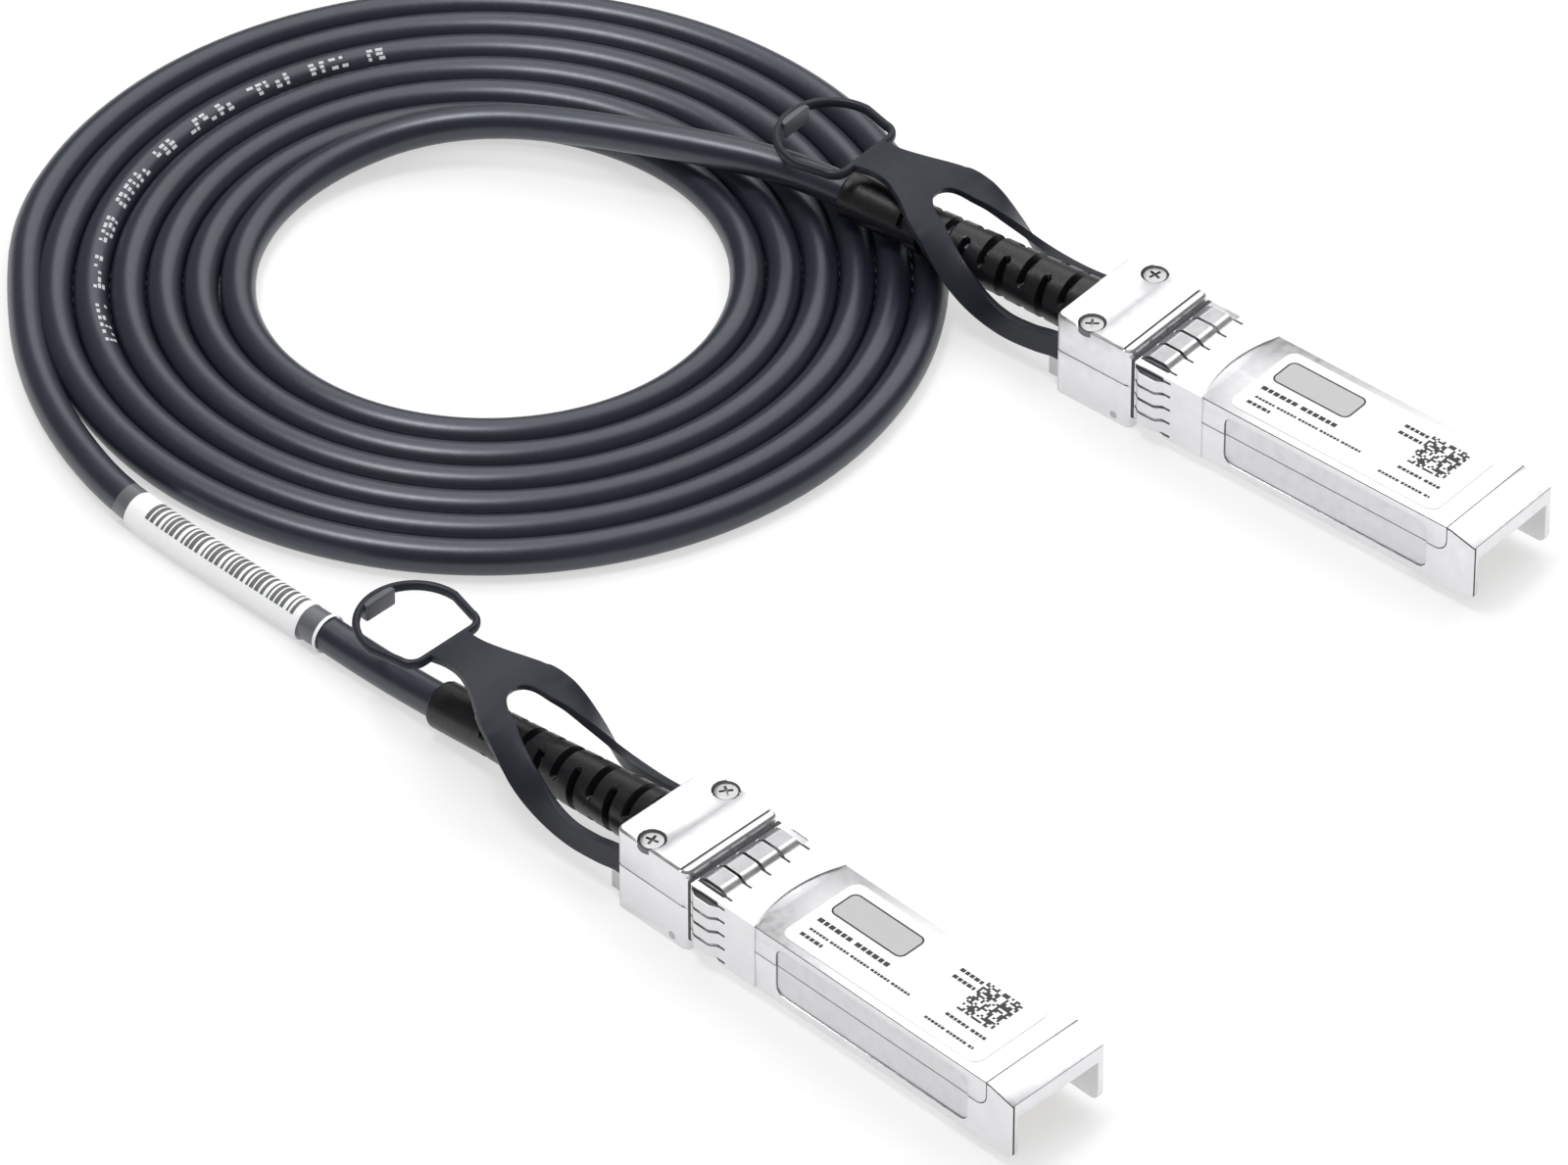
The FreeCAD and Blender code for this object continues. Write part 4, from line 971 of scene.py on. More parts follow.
def recess_lines():
    """Thin lines of painted shade round the side recesses, along the groove and the tip's top, and round the
    pockets.
    """
    mesh_data = bmesh.new()
    for side in (-1, 1):
        rows = [recess_outline(side * (RECESS_FLOOR + 3 * LINE_LIFT), inset) for inset in RECESS_LINE]
        add_strip(mesh_data, *[row + row[:1] for row in rows])
    x0, x1, floor = GROOVE
    wall, other, z = x0 + LINE_LIFT, x1 - LINE_LIFT, floor + LINE_LIFT
    reach = SHELL_HALF - GROOVE_MARGIN
    for x, height in ((other, z), (wall, SHELL_TOP - RIM_MARGIN)):
        add_strip(mesh_data, [(wall, -reach, z), (wall, reach, z)], [(x, -reach, height), (x, reach, height)])
    reach, high = BODY_HALF - TIP_MARGIN, TIP_EDGE - EDGE_DROP
    add_flat(mesh_data, (TIP_FACE, -reach, high), (TIP_FACE, reach, high - EDGE_W))
    for side in (-1, 1):
        plan = arc_points((SCREW_X, side * SCREW_Y), POCKET_SHADE_R, 0, 360, SCREW_SIDES)
        add_strip(mesh_data, *[[(x, y, z) for x, y in plan]
                               for z in (SCREW_HEAD_TOP - SCREW_HEAD_H, SHELL_TOP - POCKET_MARGIN)])
    return mesh_data


class CABLE_OT_seams(bpy.types.Operator):
    """Darken the open lines between the castings, and paint shade into the recesses, groove, pockets and
    edges and behind the collar.
    """
    bl_idname = "cable.seams"
    bl_label = "Seams and recesses"

    def execute(self, context):
        for letter in "ab":
            for make, name, material in (
                (plug_lines, "seam_lines_", "line"), (recess_panels, "recess_floor_", "panel"),
                (recess_lines, "recess_lines_", "faint_line"),
            ):
                piece = piece_from(make(), name + letter, plug_place(letter))
                dress(piece, "cable", material)
        return {"FINISHED"}


# ---- screws, collar, contacts

SCREW_X = -6.55
SCREW_Y = 5.45
SCREW_HEAD_TOP = 10.8
SCREW_END = 4.6
SCREW_R = 0.75
SCREW_HEAD_R = 1.4
SCREW_HEAD_H = 0.8
CROSS_R = 0.78
CROSS_HALF = 0.17
CROSS_DEPTH = 0.42
CROSS_TAPER = 0.8            # its floor's share of its mouth
SCREW_SIDES = 48
SCREW_TURNS = {"a": (0.95, 0.25), "b": (1.35, 0.65)}    # radians, of the crosses at each side
# radius of the ring of painted shade in each screw pocket
POCKET_SHADE_R = 1.55


def screw_item():
    """One cross-head screw, its top at z = 0, turned from its side view and the cross pressed in."""
    profile = (
        (SCREW_HEAD_R * 0.70, -0.02), (SCREW_HEAD_R * 0.92, -0.10), (SCREW_HEAD_R, -0.26),
        (SCREW_HEAD_R, -SCREW_HEAD_H), (SCREW_R, -SCREW_HEAD_H), (SCREW_R, SCREW_END - SCREW_HEAD_TOP),
    )
    mesh_data = bmesh.new()
    rows = []
    for radius, height in profile:
        rows.append(new_row(mesh_data, [(x, y, height) for x, y in circle_points(radius, SCREW_SIDES)]))
    for before, after in zip(rows, rows[1:]):
        join_rows(mesh_data, before, after, closed=True)
    mesh_data.faces.new(rows[-1])
    cross = []
    for quarter in range(4):
        turn = Matrix.Rotation(math.pi / 2 * quarter, 3, "Z")
        for corner in ((CROSS_R, -CROSS_HALF), (CROSS_R, CROSS_HALF), (CROSS_HALF, CROSS_HALF)):
            cross.append(turn @ Vector((*corner, 0)))
    mouth = new_row(mesh_data, [(p.x, p.y, -0.01) for p in cross])
    floor = new_row(mesh_data, [(p.x * CROSS_TAPER, p.y * CROSS_TAPER, -CROSS_DEPTH) for p in cross])
    join_rows(mesh_data, mouth, floor, closed=True)
    mesh_data.faces.new(floor)
    edges = [mesh_data.edges.get(pair) for loop in (mouth, rows[0])
             for pair in zip(loop, loop[1:] + loop[:1])]
    bmesh.ops.triangle_fill(mesh_data, use_beauty=True, edges=edges)
    return item_object(mesh_data, "screw_item")


class CABLE_OT_screws(bpy.types.Operator):
    """Put the cross-head screws in both shells."""
    bl_idname = "cable.screws"
    bl_label = "Shell screws"

    def execute(self, context):
        item = screw_item()
        for letter, turns in SCREW_TURNS.items():
            spots = [((SCREW_X, side * SCREW_Y, SCREW_HEAD_TOP), (0, 0, turn), (1, 1, 1))
                     for side, turn in zip((1, -1), turns)]
            obj = copies("cross_screws_" + letter, item, spots, plug_place(letter), "screw")
            dress(smooth_by_angle(obj, 30.0), "cable", "screw", ("shell_screws_" + letter,))
        discard(item)
        return {"FINISHED"}


COLLAR_T = 0.15
COLLAR_L = 10.0
COLLAR_SAG = 1.4
FINGER_START = 0.6
FINGER_ROOT = 4.6
FINGER_RISE = 0.6
FINGER_FLAT_SHARE = 0.45      # of its length, the level back of a finger
FINGER_SLIT = 0.4
FINGERS = 4                  # on the top and on each side
BAND_HALF = 6.7
BAND_LOW = 1.6
BAND_HIGH = 9.9
BAND_MIDDLE = (BAND_LOW + BAND_HIGH) / 2
BAND_STEP = 2.5              # from its corners to the next points on its sides
FINGER_MARGIN = 1.2
TOP_SPAN = 2 * BAND_HALF - 2 * FINGER_MARGIN
SIDE_SPAN = BAND_HIGH - BAND_LOW - FINGER_MARGIN
LATCH_HALF = 1.5
SLIT_W = 0.3
SLIT_END = 5.6
FACE_L = 1.75
FACE_EDGE = 0.06             # a finger's bright rim beside its back, which is painted darker as shade


def finger_item():
    """One bowed spring finger of unit width, its ends on z = 0."""
    length = FINGER_ROOT + COLLAR_T - FINGER_START
    rings = []
    for share in spaced(0, 1, 18):
        x = FINGER_START + length * share
        z = FINGER_RISE * smooth_step(min(share, 1 - share) / ((1 - FINGER_FLAT_SHARE) / 2))
        rings.append([(x, -0.5, z), (x, 0.5, z), (x, 0.5, z + COLLAR_T), (x, -0.5, z + COLLAR_T)])
    mesh_data = bmesh.new()
    add_rings(mesh_data, rings)
    return item_object(mesh_data, "finger_item")


def finger_spots():
    """Where the fingers stand round the body: across the top, down each side, beside the latch."""
    spots = []
    under_span = (TOP_SPAN - 2 * LATCH_HALF - FINGER_MARGIN) / 2
    under_y = LATCH_HALF + FINGER_MARGIN / 2 + under_span / 2
    for count, span, y, z, turn in (
        (FINGERS, TOP_SPAN, 0, BAND_HIGH, 0), (FINGERS, SIDE_SPAN, -BAND_HALF, BAND_MIDDLE, 90),
        (FINGERS, SIDE_SPAN, BAND_HALF, BAND_MIDDLE, -90), (2, under_span, -under_y, BAND_LOW, 180),
        (2, under_span, under_y, BAND_LOW, 180),
    ):
        width = (span - (count - 1) * FINGER_SLIT) / count
        roll = math.radians(turn)
        for i in range(count):
            across = -span / 2 + width / 2 + i * (width + FINGER_SLIT)
            spot = (0, y + across * math.cos(roll), z + across * math.sin(roll))
            spots.append((spot, (roll, 0, 0), (1, width, 1)))
    return spots


def collar_band():
    """The band behind the fingers, its front edge curved back across the top."""
    half, low, high = BAND_HALF + COLLAR_T, BAND_LOW - COLLAR_T, BAND_HIGH + COLLAR_T
    front = [(COLLAR_L - COLLAR_SAG * (1 - (y / half) ** 2), y, high) for y in spaced(-half, half, 24)]
    front += [(COLLAR_L, half, z) for z in (high - BAND_STEP, low + BAND_STEP, low)]
    front += [(COLLAR_L, y, low) for y in (LATCH_HALF, -LATCH_HALF, -half)]
    front += [(COLLAR_L, -half, z) for z in (low + BAND_STEP, high - BAND_STEP)]
    across, upward = BAND_HALF / half, (BAND_HIGH - BAND_LOW) / (high - low)
    inner = [(x, y * across, BAND_MIDDLE + (z - BAND_MIDDLE) * upward) for x, y, z in front]
    back, inner_back = [[(FINGER_ROOT, y, z) for _, y, z in ring] for ring in (front, inner)]
    mesh_data = bmesh.new()
    add_rings(mesh_data, [back, front, inner, inner_back], round_again=True)
    return mesh_data


def slit_lines():
    """The dark slits between the fingers, which run on into the band, on the top and the sides."""
    mesh_data = bmesh.new()
    for share in spaced(-0.5, 0.5, FINGERS):
        across, up = share * (TOP_SPAN + FINGER_SLIT), BAND_MIDDLE + share * (SIDE_SPAN + FINGER_SLIT)
        for x0, x1, width, out in ((FINGER_START, FINGER_ROOT, FINGER_SLIT, LINE_LIFT),
                                   (FINGER_ROOT, SLIT_END, SLIT_W, COLLAR_T + LINE_LIFT)):
            half, top = width / 2, BAND_HIGH + out
            add_flat(mesh_data, (x0, across - half, top), (x1, across + half, top))
            for y in (BAND_HALF + out, -BAND_HALF - out):
                add_flat(mesh_data, (x0, y, up - half), (x1, y, up + half))
    return mesh_data


def finger_faces():
    """The level backs of the top fingers, painted darker as shade, and rougher."""
    mesh_data = bmesh.new()
    width = (TOP_SPAN - (FINGERS - 1) * FINGER_SLIT) / FINGERS
    middle, half = (FINGER_START + FINGER_ROOT + COLLAR_T) / 2, width / 2 - FACE_EDGE
    z = BAND_HIGH + FINGER_RISE + COLLAR_T + LINE_LIFT
    for i in range(FINGERS):
        across = (i - (FINGERS - 1) / 2) * (width + FINGER_SLIT)
        add_flat(mesh_data, (middle - FACE_L / 2, across - half, z), (middle + FACE_L / 2, across + half, z))
    return mesh_data


class CABLE_OT_collar(bpy.types.Operator):
    """Fit the spring-finger collar round both bodies."""
    bl_idname = "cable.collar"
    bl_label = "Spring collar"

    def execute(self, context):
        item = finger_item()
        for letter in "ab":
            place = plug_place(letter)
            fingers = copies("collar_fingers_" + letter, item, finger_spots(), place, "collar")
            dress(smooth_by_angle(fingers, 30.0), "cable", "collar",
                  ("emi_collar_" + letter,))
            band = piece_from(collar_band(), "collar_band_" + letter, place)
            dress(smooth_by_angle(band, 30.0), "cable", "casting")
            slits = piece_from(slit_lines(), "collar_slits_" + letter, place)
            dress(slits, "cable", "line")
            faces = piece_from(finger_faces(), "finger_faces_" + letter, place)
            dress(faces, "cable", "finger_shade")
        discard(item)
        return {"FINISHED"}


CONTACTS = 10
CONTACT_PITCH = 0.8
CARD_LOW = 3.75
CARD_TOP = 4.75
CONTACT_X = 41.9
CONTACT_SIZE = (3.6, 0.54, 0.05)
CONTACT_EDGE = 0.03


class CABLE_OT_contacts(bpy.types.Operator):
    """Lay the gold contacts on both faces of the cards."""
    bl_idname = "cable.contacts"
    bl_label = "Card contacts"

    def execute(self, context):
        length, width, height = CONTACT_SIZE
        mesh_data = bmesh.new()
        add_block(mesh_data, (-length / 2, -width / 2, 0), (length / 2, width / 2, height))
        item = rounded_edges(item_object(mesh_data, "contact_item"), CONTACT_EDGE)
        spots = []
        for i in range(CONTACTS):
            y = (i - (CONTACTS - 1) / 2) * CONTACT_PITCH
            spots.append(((CONTACT_X, y, CARD_TOP), (0, 0, 0), (1, 1, 1)))
            spots.append(((CONTACT_X, y, CARD_LOW), (math.pi, 0, 0), (1, 1, 1)))
        for letter in "ab":
            obj = copies("gold_contacts_" + letter, item, spots, plug_place(letter), "gold")
            dress(smooth_by_angle(obj), "cable", "gold", ("card_contacts_" + letter,))
        discard(item)
        return {"FINISHED"}


# ---- boots

BOOT_R0 = 3.5
BOOT_R1 = 2.75
BOOT_COLLAR_L = 7.6
BOOT_START = 1.05            # along the leaning axis, where it clears the shell
BOOT_SIDES = 128
BOOT_STEP = 0.14
SLOT_FIRST = 2.4
SLOT_PITCH = 2.8
SLOTS = 9
SLOT_HALF_W = 0.36
SLOT_HALF_ARC = 60.0
SLOT_EDGE = 0.12
BORE_R = 2.05                # the cable's radius and a small gap
BORE_L = 1.5                 # how far the bore is made, round the cable's end
# the rounded lip: (before the boot's end, radius)
BOOT_LIP = ((0.08, BOOT_R1 - 0.07), (0.0, BOOT_R1 - 0.25), (0.0, BORE_R), (BORE_L, BORE_R))
BOOT_LIP_L = 0.25


def slot_depth_at(along, angle, radius, depth):
    """How deep the boot's surface lies at a place: full inside a slot, rising over its edge."""
    deepest = 0.0
    for i in range(SLOTS):
        off = along - (BOOT_KNUCKLE + SLOT_FIRST + i * SLOT_PITCH)
        if abs(off) > SLOT_HALF_W + SLOT_EDGE:
            continue
        for centre in ((0, 180) if i % 2 else (90, 270)):
            turn = (angle - centre + 180) % 360 - 180
            past = math.radians(max(abs(turn) - SLOT_HALF_ARC, 0.0)) * radius
            outside = math.hypot(off, past) - SLOT_HALF_W
            deepest = max(deepest, depth * smooth_step(1 - outside / SLOT_EDGE))
    return deepest


def boot_radius(along):
    taper_l = BOOT_KNUCKLE + BOOT_L - BOOT_COLLAR_L
    if along >= taper_l:
        return BOOT_R1
    return BOOT_R0 + (BOOT_R1 - BOOT_R0) * along / taper_l


def boot_mesh(letter, depth):
    """The slotted boot as one skin from its root to the mouth that the cable leaves."""
    start, direction = boot_axis(letter)
    length = BOOT_KNUCKLE + BOOT_L
    rings = []

    def add_ring(along, radius_at):
        rings.append(points_round(start + direction * along, direction, full_circle(BOOT_SIDES), radius_at))

    for along in spaced(BOOT_START, length - BOOT_LIP_L, int((length - BOOT_START) / BOOT_STEP)):
        full = boot_radius(along)
        add_ring(along, lambda angle: full - slot_depth_at(along, angle, full, depth))
    for back, radius in BOOT_LIP:
        add_ring(length - back, lambda angle: radius)
    mesh_data = bmesh.new()
    add_rings(mesh_data, rings)
    return mesh_data


class CABLE_OT_boots(bpy.types.Operator):
    """Mould the slotted strain reliefs."""
    bl_idname = "cable.boots"
    bl_label = "Strain reliefs"

    def execute(self, context):
        depth = context.scene.moulding_sizes.slot_depth / MM
        for letter in "ab":
            obj = piece_from(boot_mesh(letter, depth), "boot_" + letter, plug_place(letter))
            dress(smooth_by_angle(obj, 50.0), "cable", "rubber", ("strain_relief_" + letter,))
        return {"FINISHED"}


# ---- pull tabs

# behind the shell, out from the middle, height, strap width, lean (90 = on edge, 0 = flat)
STRAP_STATIONS = (
    (-2.2, 5.70, 5.40, 3.05, 90.0),
    (0.6, 5.70, 5.38, 3.05, 90.0),
    (3.8, 5.78, 4.75, 3.0, 90.0),
    (7.8, 5.85, 4.55, 3.0, 86.0),
    (11.6, 5.74, 5.42, 3.0, 70.0),
    (15.2, 5.53, 7.50, 3.2, 40.0),
    (18.0, 5.06, 9.45, 3.3, 15.0),
    (19.6, 4.58, 10.43, 3.70, 5.0),
    (20.6, 4.31, 10.88, 3.78, 2.0),
    (21.4, 3.98, 11.24, 3.93, 0.0),
    (22.0, 3.58, 11.48, 4.24, 0.0),
    (22.3, 3.25, 11.58, 4.60, 0.0),
    (22.45, 2.98, 11.63, 5.00, 0.0),
    (22.5, 2.72, 11.65, 5.44, 0.0),
    (23.4, 2.42, 11.93, 4.84, 0.0),
    (24.5, 2.10, 12.18, 4.20, 0.0),
    (27.2, 1.50, 12.45, 3.00, 0.0),
    (29.8, 1.28, 12.25, 2.56, 0.0),
    (32.7, 1.42, 11.82, 2.84, 0.0),
)
NOTCH_END = 22.5
STRAP_STEPS = 9
STRAP_COLUMNS = 8
RING_START = 32.0
RING_STRAIGHT = 5.6
RING_HALF_NEAR = 5.8
RING_HALF = 6.6
RING_CORNER_R = 2.2
RING_BAND = 0.88
RING_LOW = 11.25
RING_H = 1.15
RING_SIDES = 16
RING_SQUARENESS = 2.6        # of its section: 2 is an ellipse, more is squarer
FINGER_PAD = (4.3, 0.75, 2.3)
PAD_ROOT = 0.3               # how far the pad reaches into the ring's band
PAD_DROP = 0.08              # of its top under the ring's
STRAP_SWAY = 0.3             # share of its sideways run with which a leaning strap turns
STRAP_FLAT = 20.0            # degrees of lean under which a strap turns less
STRAP_EDGE = 0.0002
PAD_EDGE = 0.00025
TAB_BEVELS = 3
TAB_EDGE_ANGLE = 50.0


def strap_rows(thick):
    """For each step along one strap: its upper and lower points from the inner to the outer edge."""
    stations = smooth_row(STRAP_STATIONS, STRAP_STEPS)
    rows = []
    for i, (back, out, height, width, lean) in enumerate(stations):
        before, after = stations[max(i - 1, 0)], stations[min(i + 1, len(stations) - 1)]
        lean = max(lean, 0.0)
        along = behind(*after[:3]) - behind(*before[:3])
        along.y *= STRAP_SWAY * min(lean / STRAP_FLAT, 1.0)
        along.normalize()
        level = Vector((0, 0, 1)).cross(along).normalized()
        rising = along.cross(level)
        tilt = math.radians(lean)
        inward = level * math.cos(tilt) + rising * math.sin(tilt)
        normal = along.cross(inward).normalized()
        centre = behind(back, out, height)
        upper, lower = [], []
        for c in range(STRAP_COLUMNS + 1):
            point = centre + inward * (width * (0.5 - c / STRAP_COLUMNS))
            if back > NOTCH_END - 0.001:
                point.y = centre.y * (2 * c / STRAP_COLUMNS)
            point.y = max(point.y, 0.0)
            upper.append(point + normal * (thick / 2))
            lower.append(point - normal * (thick / 2))
        if upper[0].y < 1e-4:
            upper[0].y = lower[0].y = 0.0
        rows.append((upper, lower))
    return rows


def strap_mesh(thick):
    """Both straps and the sheet that they join in: one side's skin and its mirror, merged."""
    mesh_data = bmesh.new()
    for flip in (1, -1):
        rows = [[new_row(mesh_data, [(p.x, p.y * flip, p.z) for p in side]) for side in sides]
                for sides in strap_rows(thick)]
        for (up0, low0), (up1, low1) in zip(rows, rows[1:]):
            for c in range(STRAP_COLUMNS):
                mesh_data.faces.new((up0[c], up0[c + 1], up1[c + 1], up1[c]))
                mesh_data.faces.new((low0[c], low1[c], low1[c + 1], low0[c + 1]))
            mesh_data.faces.new((up0[-1], low0[-1], low1[-1], up1[-1]))
            if abs(up0[0].co.y) > 1e-6 or abs(up1[0].co.y) > 1e-6:
                mesh_data.faces.new((up0[0], up1[0], low1[0], low0[0]))
        for (up, low), order in ((rows[0], 1), (rows[-1], -1)):
            mesh_data.faces.new((up + low[::-1])[::order])
    bmesh.ops.remove_doubles(mesh_data, verts=mesh_data.verts, dist=1e-4)
    return mesh_data


def ring_path(inset):
    """The finger ring's outline at an inset, as (behind, out) pairs: flat near side, round far side."""
    corner = RING_CORNER_R - inset
    near, out = RING_START + RING_CORNER_R, RING_HALF_NEAR - RING_CORNER_R
    return (arc_points((RING_START + RING_STRAIGHT, 0), RING_HALF - inset, 90, -90, 32)
            + arc_points((near, -out), corner, 270, 180) + arc_points((near, out), corner, 180, 90))


def ring_mesh():
    """The finger ring: a rounded band swept round its outline."""
    rings = []
    for (x0, y0), (x1, y1) in zip(ring_path(0.0), ring_path(RING_BAND)):
        middle, reach = Vector(((x0 + x1) / 2, (y0 + y1) / 2)), Vector((x0 - x1, y0 - y1)) / 2
        ring = []
        for c, z in circle_points(1, RING_SIDES):
            swell = (abs(c) ** RING_SQUARENESS + abs(z) ** RING_SQUARENESS) ** (-1 / RING_SQUARENESS)
            across = middle + reach * (c * swell)
            ring.append(behind(*across, RING_LOW + RING_H / 2 * (1 + z * swell)))
        rings.append(ring)
    mesh_data = bmesh.new()
    add_rings(mesh_data, rings, round_again=True)
    return mesh_data


def pad_mesh():
    """The small finger pad inside the far end of the ring."""
    width, thick, height = FINGER_PAD
    far, top = RING_START + RING_STRAIGHT + RING_HALF - RING_BAND, RING_LOW + RING_H
    mesh_data = bmesh.new()
    add_block(mesh_data, behind(far + PAD_ROOT, -width / 2, top - height),
              behind(far - thick, width / 2, top - PAD_DROP))
    return mesh_data


class CABLE_OT_pull_tabs(bpy.types.Operator):
    """Mould the pull tabs: twisted straps, sheet, finger ring and pad."""
    bl_idname = "cable.pull_tabs"
    bl_label = "Pull tabs"

    def execute(self, context):
        thick = context.scene.moulding_sizes.strap / MM
        for letter in "ab":
            body, place = "pull_" + letter, plug_place(letter)
            straps = piece_from(strap_mesh(thick), "tab_straps_" + letter, place)
            rounded_edges(straps, STRAP_EDGE, TAB_BEVELS, TAB_EDGE_ANGLE)
            dress(smooth_by_angle(straps, 40.0), body, "nylon", ("pull_tab_" + letter,))
            ring = piece_from(ring_mesh(), "tab_ring_" + letter, place)
            dress(smooth_by_angle(ring, 60.0), body, "nylon")
            pad = piece_from(pad_mesh(), "tab_pad_" + letter, place)
            rounded_edges(pad, PAD_EDGE, TAB_BEVELS, TAB_EDGE_ANGLE)
            dress(smooth_by_angle(pad, 40.0), body, "pad")
        return {"FINISHED"}


# ---- print on the cover labels

LABEL_TOP = 10.08
INK_T = 0.012
FRAME_BOX = (13.9, 0.5, 24.1, 4.2)      # plain grey field with a thin frame: x, y, x, y
FRAME_R = 0.7
FRAME_LINE = 0.2
# plain bars in place of lines of words: x from, x to, y, height
TEXT_BARS = (
    (13.9, 24.2, -1.25, 0.62), (14.3, 29.2, -2.95, 0.34), (14.1, 17.2, -4.1, 0.5),
    (29.8, 33.0, 3.7, 0.5), (29.9, 33.0, 2.45, 0.5), (33.4, 39.1, -2.2, 0.42), (32.2, 39.2, -4.1, 0.36),
)
WORD_DASHES = 6
WORD_GAP = 1.0               # of the dashes' height
DASH_GAP = 0.3
SHORTEST_DASH = 0.1
CODE_CORNER = (33.3, -0.9)
CODE_SIDE = 5.2
CODE_CELLS = 18
CODE_FILL = 0.55
CODE_SEED = 5


def rounded_loop(x0, y0, x1, y1, radius, z):
    """A rectangle with rounded corners, at that z."""
    points = []
    for x, y, first in ((x1 - radius, y1 - radius, 0), (x0 + radius, y1 - radius, 90),
                        (x0 + radius, y0 + radius, 180), (x1 - radius, y0 + radius, 270)):
        points += [(*point, z) for point in arc_points((x, y), radius, first, first + 90, 6)]
    return points


def dash_share(k, x0):
    """A dash's length over its height: uneven, from a rule."""
    return 0.75 + 0.45 * abs(math.sin(k * 2.1 + x0))


def bar_spots():
    """Each line of words as short dashes of uneven length with gaps."""
    spots = []
    for x0, x1, y, height in TEXT_BARS:
        x, k = x0, 0
        while x < x1 - SHORTEST_DASH:
            dash = min(height * dash_share(k, x0), x1 - x)
            spots.append(((x + dash / 2, y, LABEL_TOP), (0, 0, 0), (dash, height, INK_T)))
            k += 1
            x += dash + height * (DASH_GAP if k % WORD_DASHES else WORD_GAP)
    return spots


def code_spots():
    """A square of small cells, filled at random from a fixed seed; it stands for nothing."""
    cell = CODE_SIDE / CODE_CELLS
    dice = random.Random(CODE_SEED)
    spots = []
    for i in range(CODE_CELLS):
        for j in range(CODE_CELLS):
            if dice.random() < CODE_FILL:
                x, y = CODE_CORNER[0] + (i + 0.5) * cell, CODE_CORNER[1] + (j + 0.5) * cell
                spots.append(((x, y, LABEL_TOP), (0, 0, 0), (cell, cell, INK_T)))
    return spots


def label_field():
    """The plain grey field."""
    mesh_data = bmesh.new()
    add_rings(mesh_data, [rounded_loop(*FRAME_BOX, FRAME_R, z) for z in (LABEL_TOP, LABEL_TOP + INK_T)])
    return mesh_data


def label_frame():
    """The thin frame round the field."""
    x0, y0, x1, y1 = FRAME_BOX
    low, high = LABEL_TOP, LABEL_TOP + 2 * INK_T
    mesh_data = bmesh.new()
    add_rings(mesh_data, [
        rounded_loop(x0 - grow, y0 - grow, x1 + grow, y1 + grow, FRAME_R + grow, z)
        for grow, z in ((0.0, low), (0.0, high), (FRAME_LINE, high), (FRAME_LINE, low))], round_again=True)
    return mesh_data


class CABLE_OT_label_print(bpy.types.Operator):
    """Print plain marks on the cover labels."""
    bl_idname = "cable.label_print"
    bl_label = "Label print"

    def execute(self, context):
        mesh_data = bmesh.new()
        add_block(mesh_data, (-0.5, -0.5, 0), (0.5, 0.5, 1))
        item = item_object(mesh_data, "mark_item")
        for letter in "ab":
            place = plug_place(letter)
            marks = copies("label_marks_" + letter, item, bar_spots() + code_spots(), place, "ink")
            dress(marks, "cable", "ink")
            field = piece_from(label_field(), "label_field_" + letter, place)
            dress(field, "cable", "grey_ink")
            outline = piece_from(label_frame(), "label_frame_" + letter, place)
            dress(outline, "cable", "ink")
        discard(item)
        return {"FINISHED"}


# ---- stage

AIM = (-0.02937, 0.04219, 0.0)
CAMERA_AZIMUTH = 45.02
CAMERA_ELEVATION = 40.91
CAMERA_LENS = 318.5
FLOOR_SIDE = 6.0
SOFT_BOX = ((-0.33, 0.73, 0.94), 1.3)     # place and size, in metres
OVERHEAD = ((-0.24, -0.17, 1.16), 0.3)
STREAK = ((-0.24, -0.17, 1.16), 0.26)


def add_camera(distance):
    azimuth, elevation = math.radians(CAMERA_AZIMUTH), math.radians(CAMERA_ELEVATION)
    direction = Vector((-math.sin(azimuth) * math.cos(elevation), math.cos(azimuth) * math.cos(elevation),
                        -math.sin(elevation)))
    data = bpy.data.cameras.new("camera")
    data.sensor_fit = "HORIZONTAL"
    data.sensor_width = 36.0
    data.lens = CAMERA_LENS
    data.clip_end = 20.0
    camera = link(bpy.data.objects.new("camera", data))
    camera.location = Vector(AIM) - direction * distance
    camera.rotation_euler = direction.to_track_quat("-Z", "Y").to_euler()
    bpy.context.scene.camera = camera


def add_area(name, place, size, power, only_shine=False):
    """A square light that points at the object; one for shine alone doesn't light matt surfaces."""
    data = bpy.data.lights.new(name, "AREA")
    data.size = size
    data.energy = power
    light = link(bpy.data.objects.new(name, data))
    light.location = place
    light.rotation_euler = (Vector(AIM) - Vector(place)).to_track_quat("-Z", "Y").to_euler()
    light.visible_diffuse = not only_shine


def add_floor(added):
    """A white floor that keeps the object's soft shadow."""
    half = FLOOR_SIDE / 2
    mesh_data = bmesh.new()
    add_flat(mesh_data, (-half, -half, 0.0), (half, half, 0.0))
    floor = piece_from(mesh_data, "floor", scale=1.0)
    material, shader = new_material("floor_white")
    rays = add_node(material, "ShaderNodeLightPath").outputs
    seen = add_node(material, "ShaderNodeMath", {0: rays["Is Camera Ray"], 1: rays["Is Glossy Ray"]},
                    operation="MAXIMUM")
    lift = add_node(material, "ShaderNodeMath", {0: seen.outputs["Value"], 1: added}, operation="MULTIPLY")
    feed(material, shader, {
        "Base Color": (0.5, 0.5, 0.5, 1.0),
        "Roughness": 0.9,
        "Specular IOR Level": 0.0,
        "Emission Strength": lift.outputs["Value"],
        "Emission Color": (1, 1, 1, 1)})
    floor.data.materials.append(material)


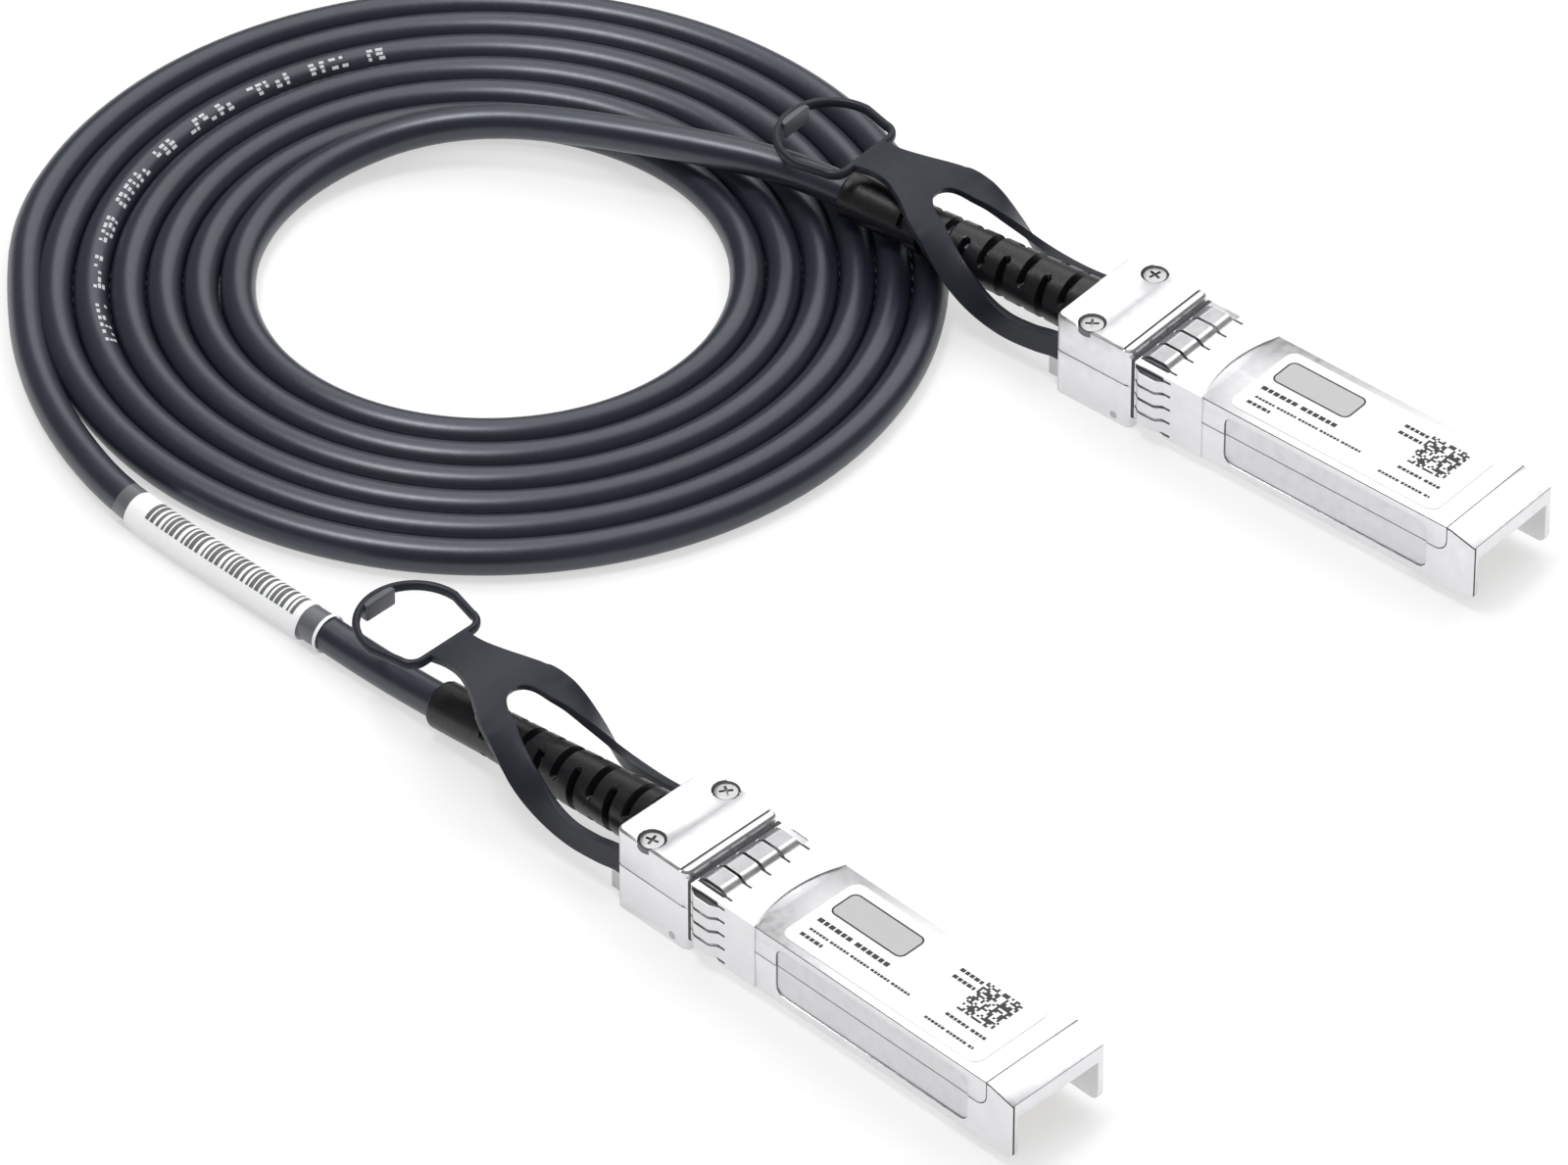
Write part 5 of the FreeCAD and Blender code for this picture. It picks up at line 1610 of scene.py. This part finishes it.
def light_world(strength, mirrored):
    """Even light from all round, with another strength in shiny surfaces and behind the object."""
    world = bpy.data.worlds.new("studio")
    world.use_nodes = True
    world.node_tree.nodes.clear()
    bpy.context.scene.world = world
    out = add_node(world, "ShaderNodeOutputWorld")
    even = add_node(world, "ShaderNodeBackground", {"Strength": strength, "Color": (1, 1, 1, 1)})
    seen, dim = [add_node(world, "ShaderNodeBackground", {"Strength": power}) for power in (1.0, mirrored)]
    rays = add_node(world, "ShaderNodeLightPath").outputs
    for_shine = add_node(world, "ShaderNodeMixShader", {
        "Fac": rays["Is Glossy Ray"], 1: even.outputs["Background"], 2: dim.outputs["Background"]})
    for_camera = add_node(world, "ShaderNodeMixShader", {
        "Fac": rays["Is Camera Ray"], 1: for_shine.outputs["Shader"], 2: seen.outputs["Background"]})
    feed(world, out, {"Surface": for_camera.outputs["Shader"]})


class CABLE_OT_stage(bpy.types.Operator):
    """Set the camera, the floor and the soft studio light."""
    bl_idname = "cable.stage"
    bl_label = "Stage"

    def execute(self, context):
        stage = context.scene.stage_sizes
        context.scene.view_settings.view_transform = "Standard"
        add_camera(stage.distance)
        add_floor(stage.lift)
        light_world(stage.sky, stage.mirrored)
        add_area("soft_box", *SOFT_BOX, stage.key)
        add_area("overhead", *OVERHEAD, stage.overhead)
        add_area("streak", *STREAK, stage.streak, only_shine=True)
        return {"FINISHED"}


# ---- add-on

class CABLE_PT_panel(bpy.types.Panel):
    bl_idname = "CABLE_PT_panel"
    bl_label = "Direct attach cable"
    bl_space_type = "VIEW_3D"
    bl_region_type = "UI"
    bl_category = "Cable"

    def draw(self, context):
        layout = self.layout
        for settings in (context.scene.cable_sizes, context.scene.plug_sizes, context.scene.moulding_sizes,
                         context.scene.stage_sizes):
            for name in settings.bl_rna.properties.keys():
                if name not in ("rna_type", "name"):
                    layout.prop(settings, name)
        for operator in OPERATORS:
            layout.operator(operator.bl_idname)


SETTINGS = {
    "cable_sizes": CableSettings, "plug_sizes": PlugSettings, "moulding_sizes": MouldingSettings,
    "stage_sizes": StageSettings,
}
OPERATORS = (
    CABLE_OT_stage, CABLE_OT_jacket, CABLE_OT_sleeve, CABLE_OT_jacket_marks, CABLE_OT_castings,
    CABLE_OT_seams, CABLE_OT_kept_parts, CABLE_OT_springs, CABLE_OT_screws, CABLE_OT_collar,
    CABLE_OT_contacts, CABLE_OT_boots, CABLE_OT_pull_tabs, CABLE_OT_label_print,
)


def register():
    for settings in SETTINGS.values():
        bpy.utils.register_class(settings)
    for operator in OPERATORS:
        bpy.utils.register_class(operator)
    bpy.utils.register_class(CABLE_PT_panel)
    for name, settings in SETTINGS.items():
        setattr(bpy.types.Scene, name, bpy.props.PointerProperty(type=settings))


def unregister():
    for name in SETTINGS:
        delattr(bpy.types.Scene, name)
    bpy.utils.unregister_class(CABLE_PT_panel)
    for operator in reversed(OPERATORS):
        bpy.utils.unregister_class(operator)
    for settings in reversed(list(SETTINGS.values())):
        bpy.utils.unregister_class(settings)


def main():
    register()
    make_materials()
    for operator in OPERATORS:
        group, name = operator.bl_idname.split(".")
        getattr(getattr(bpy.ops, group), name)()


if __name__ == "__main__":
    main()
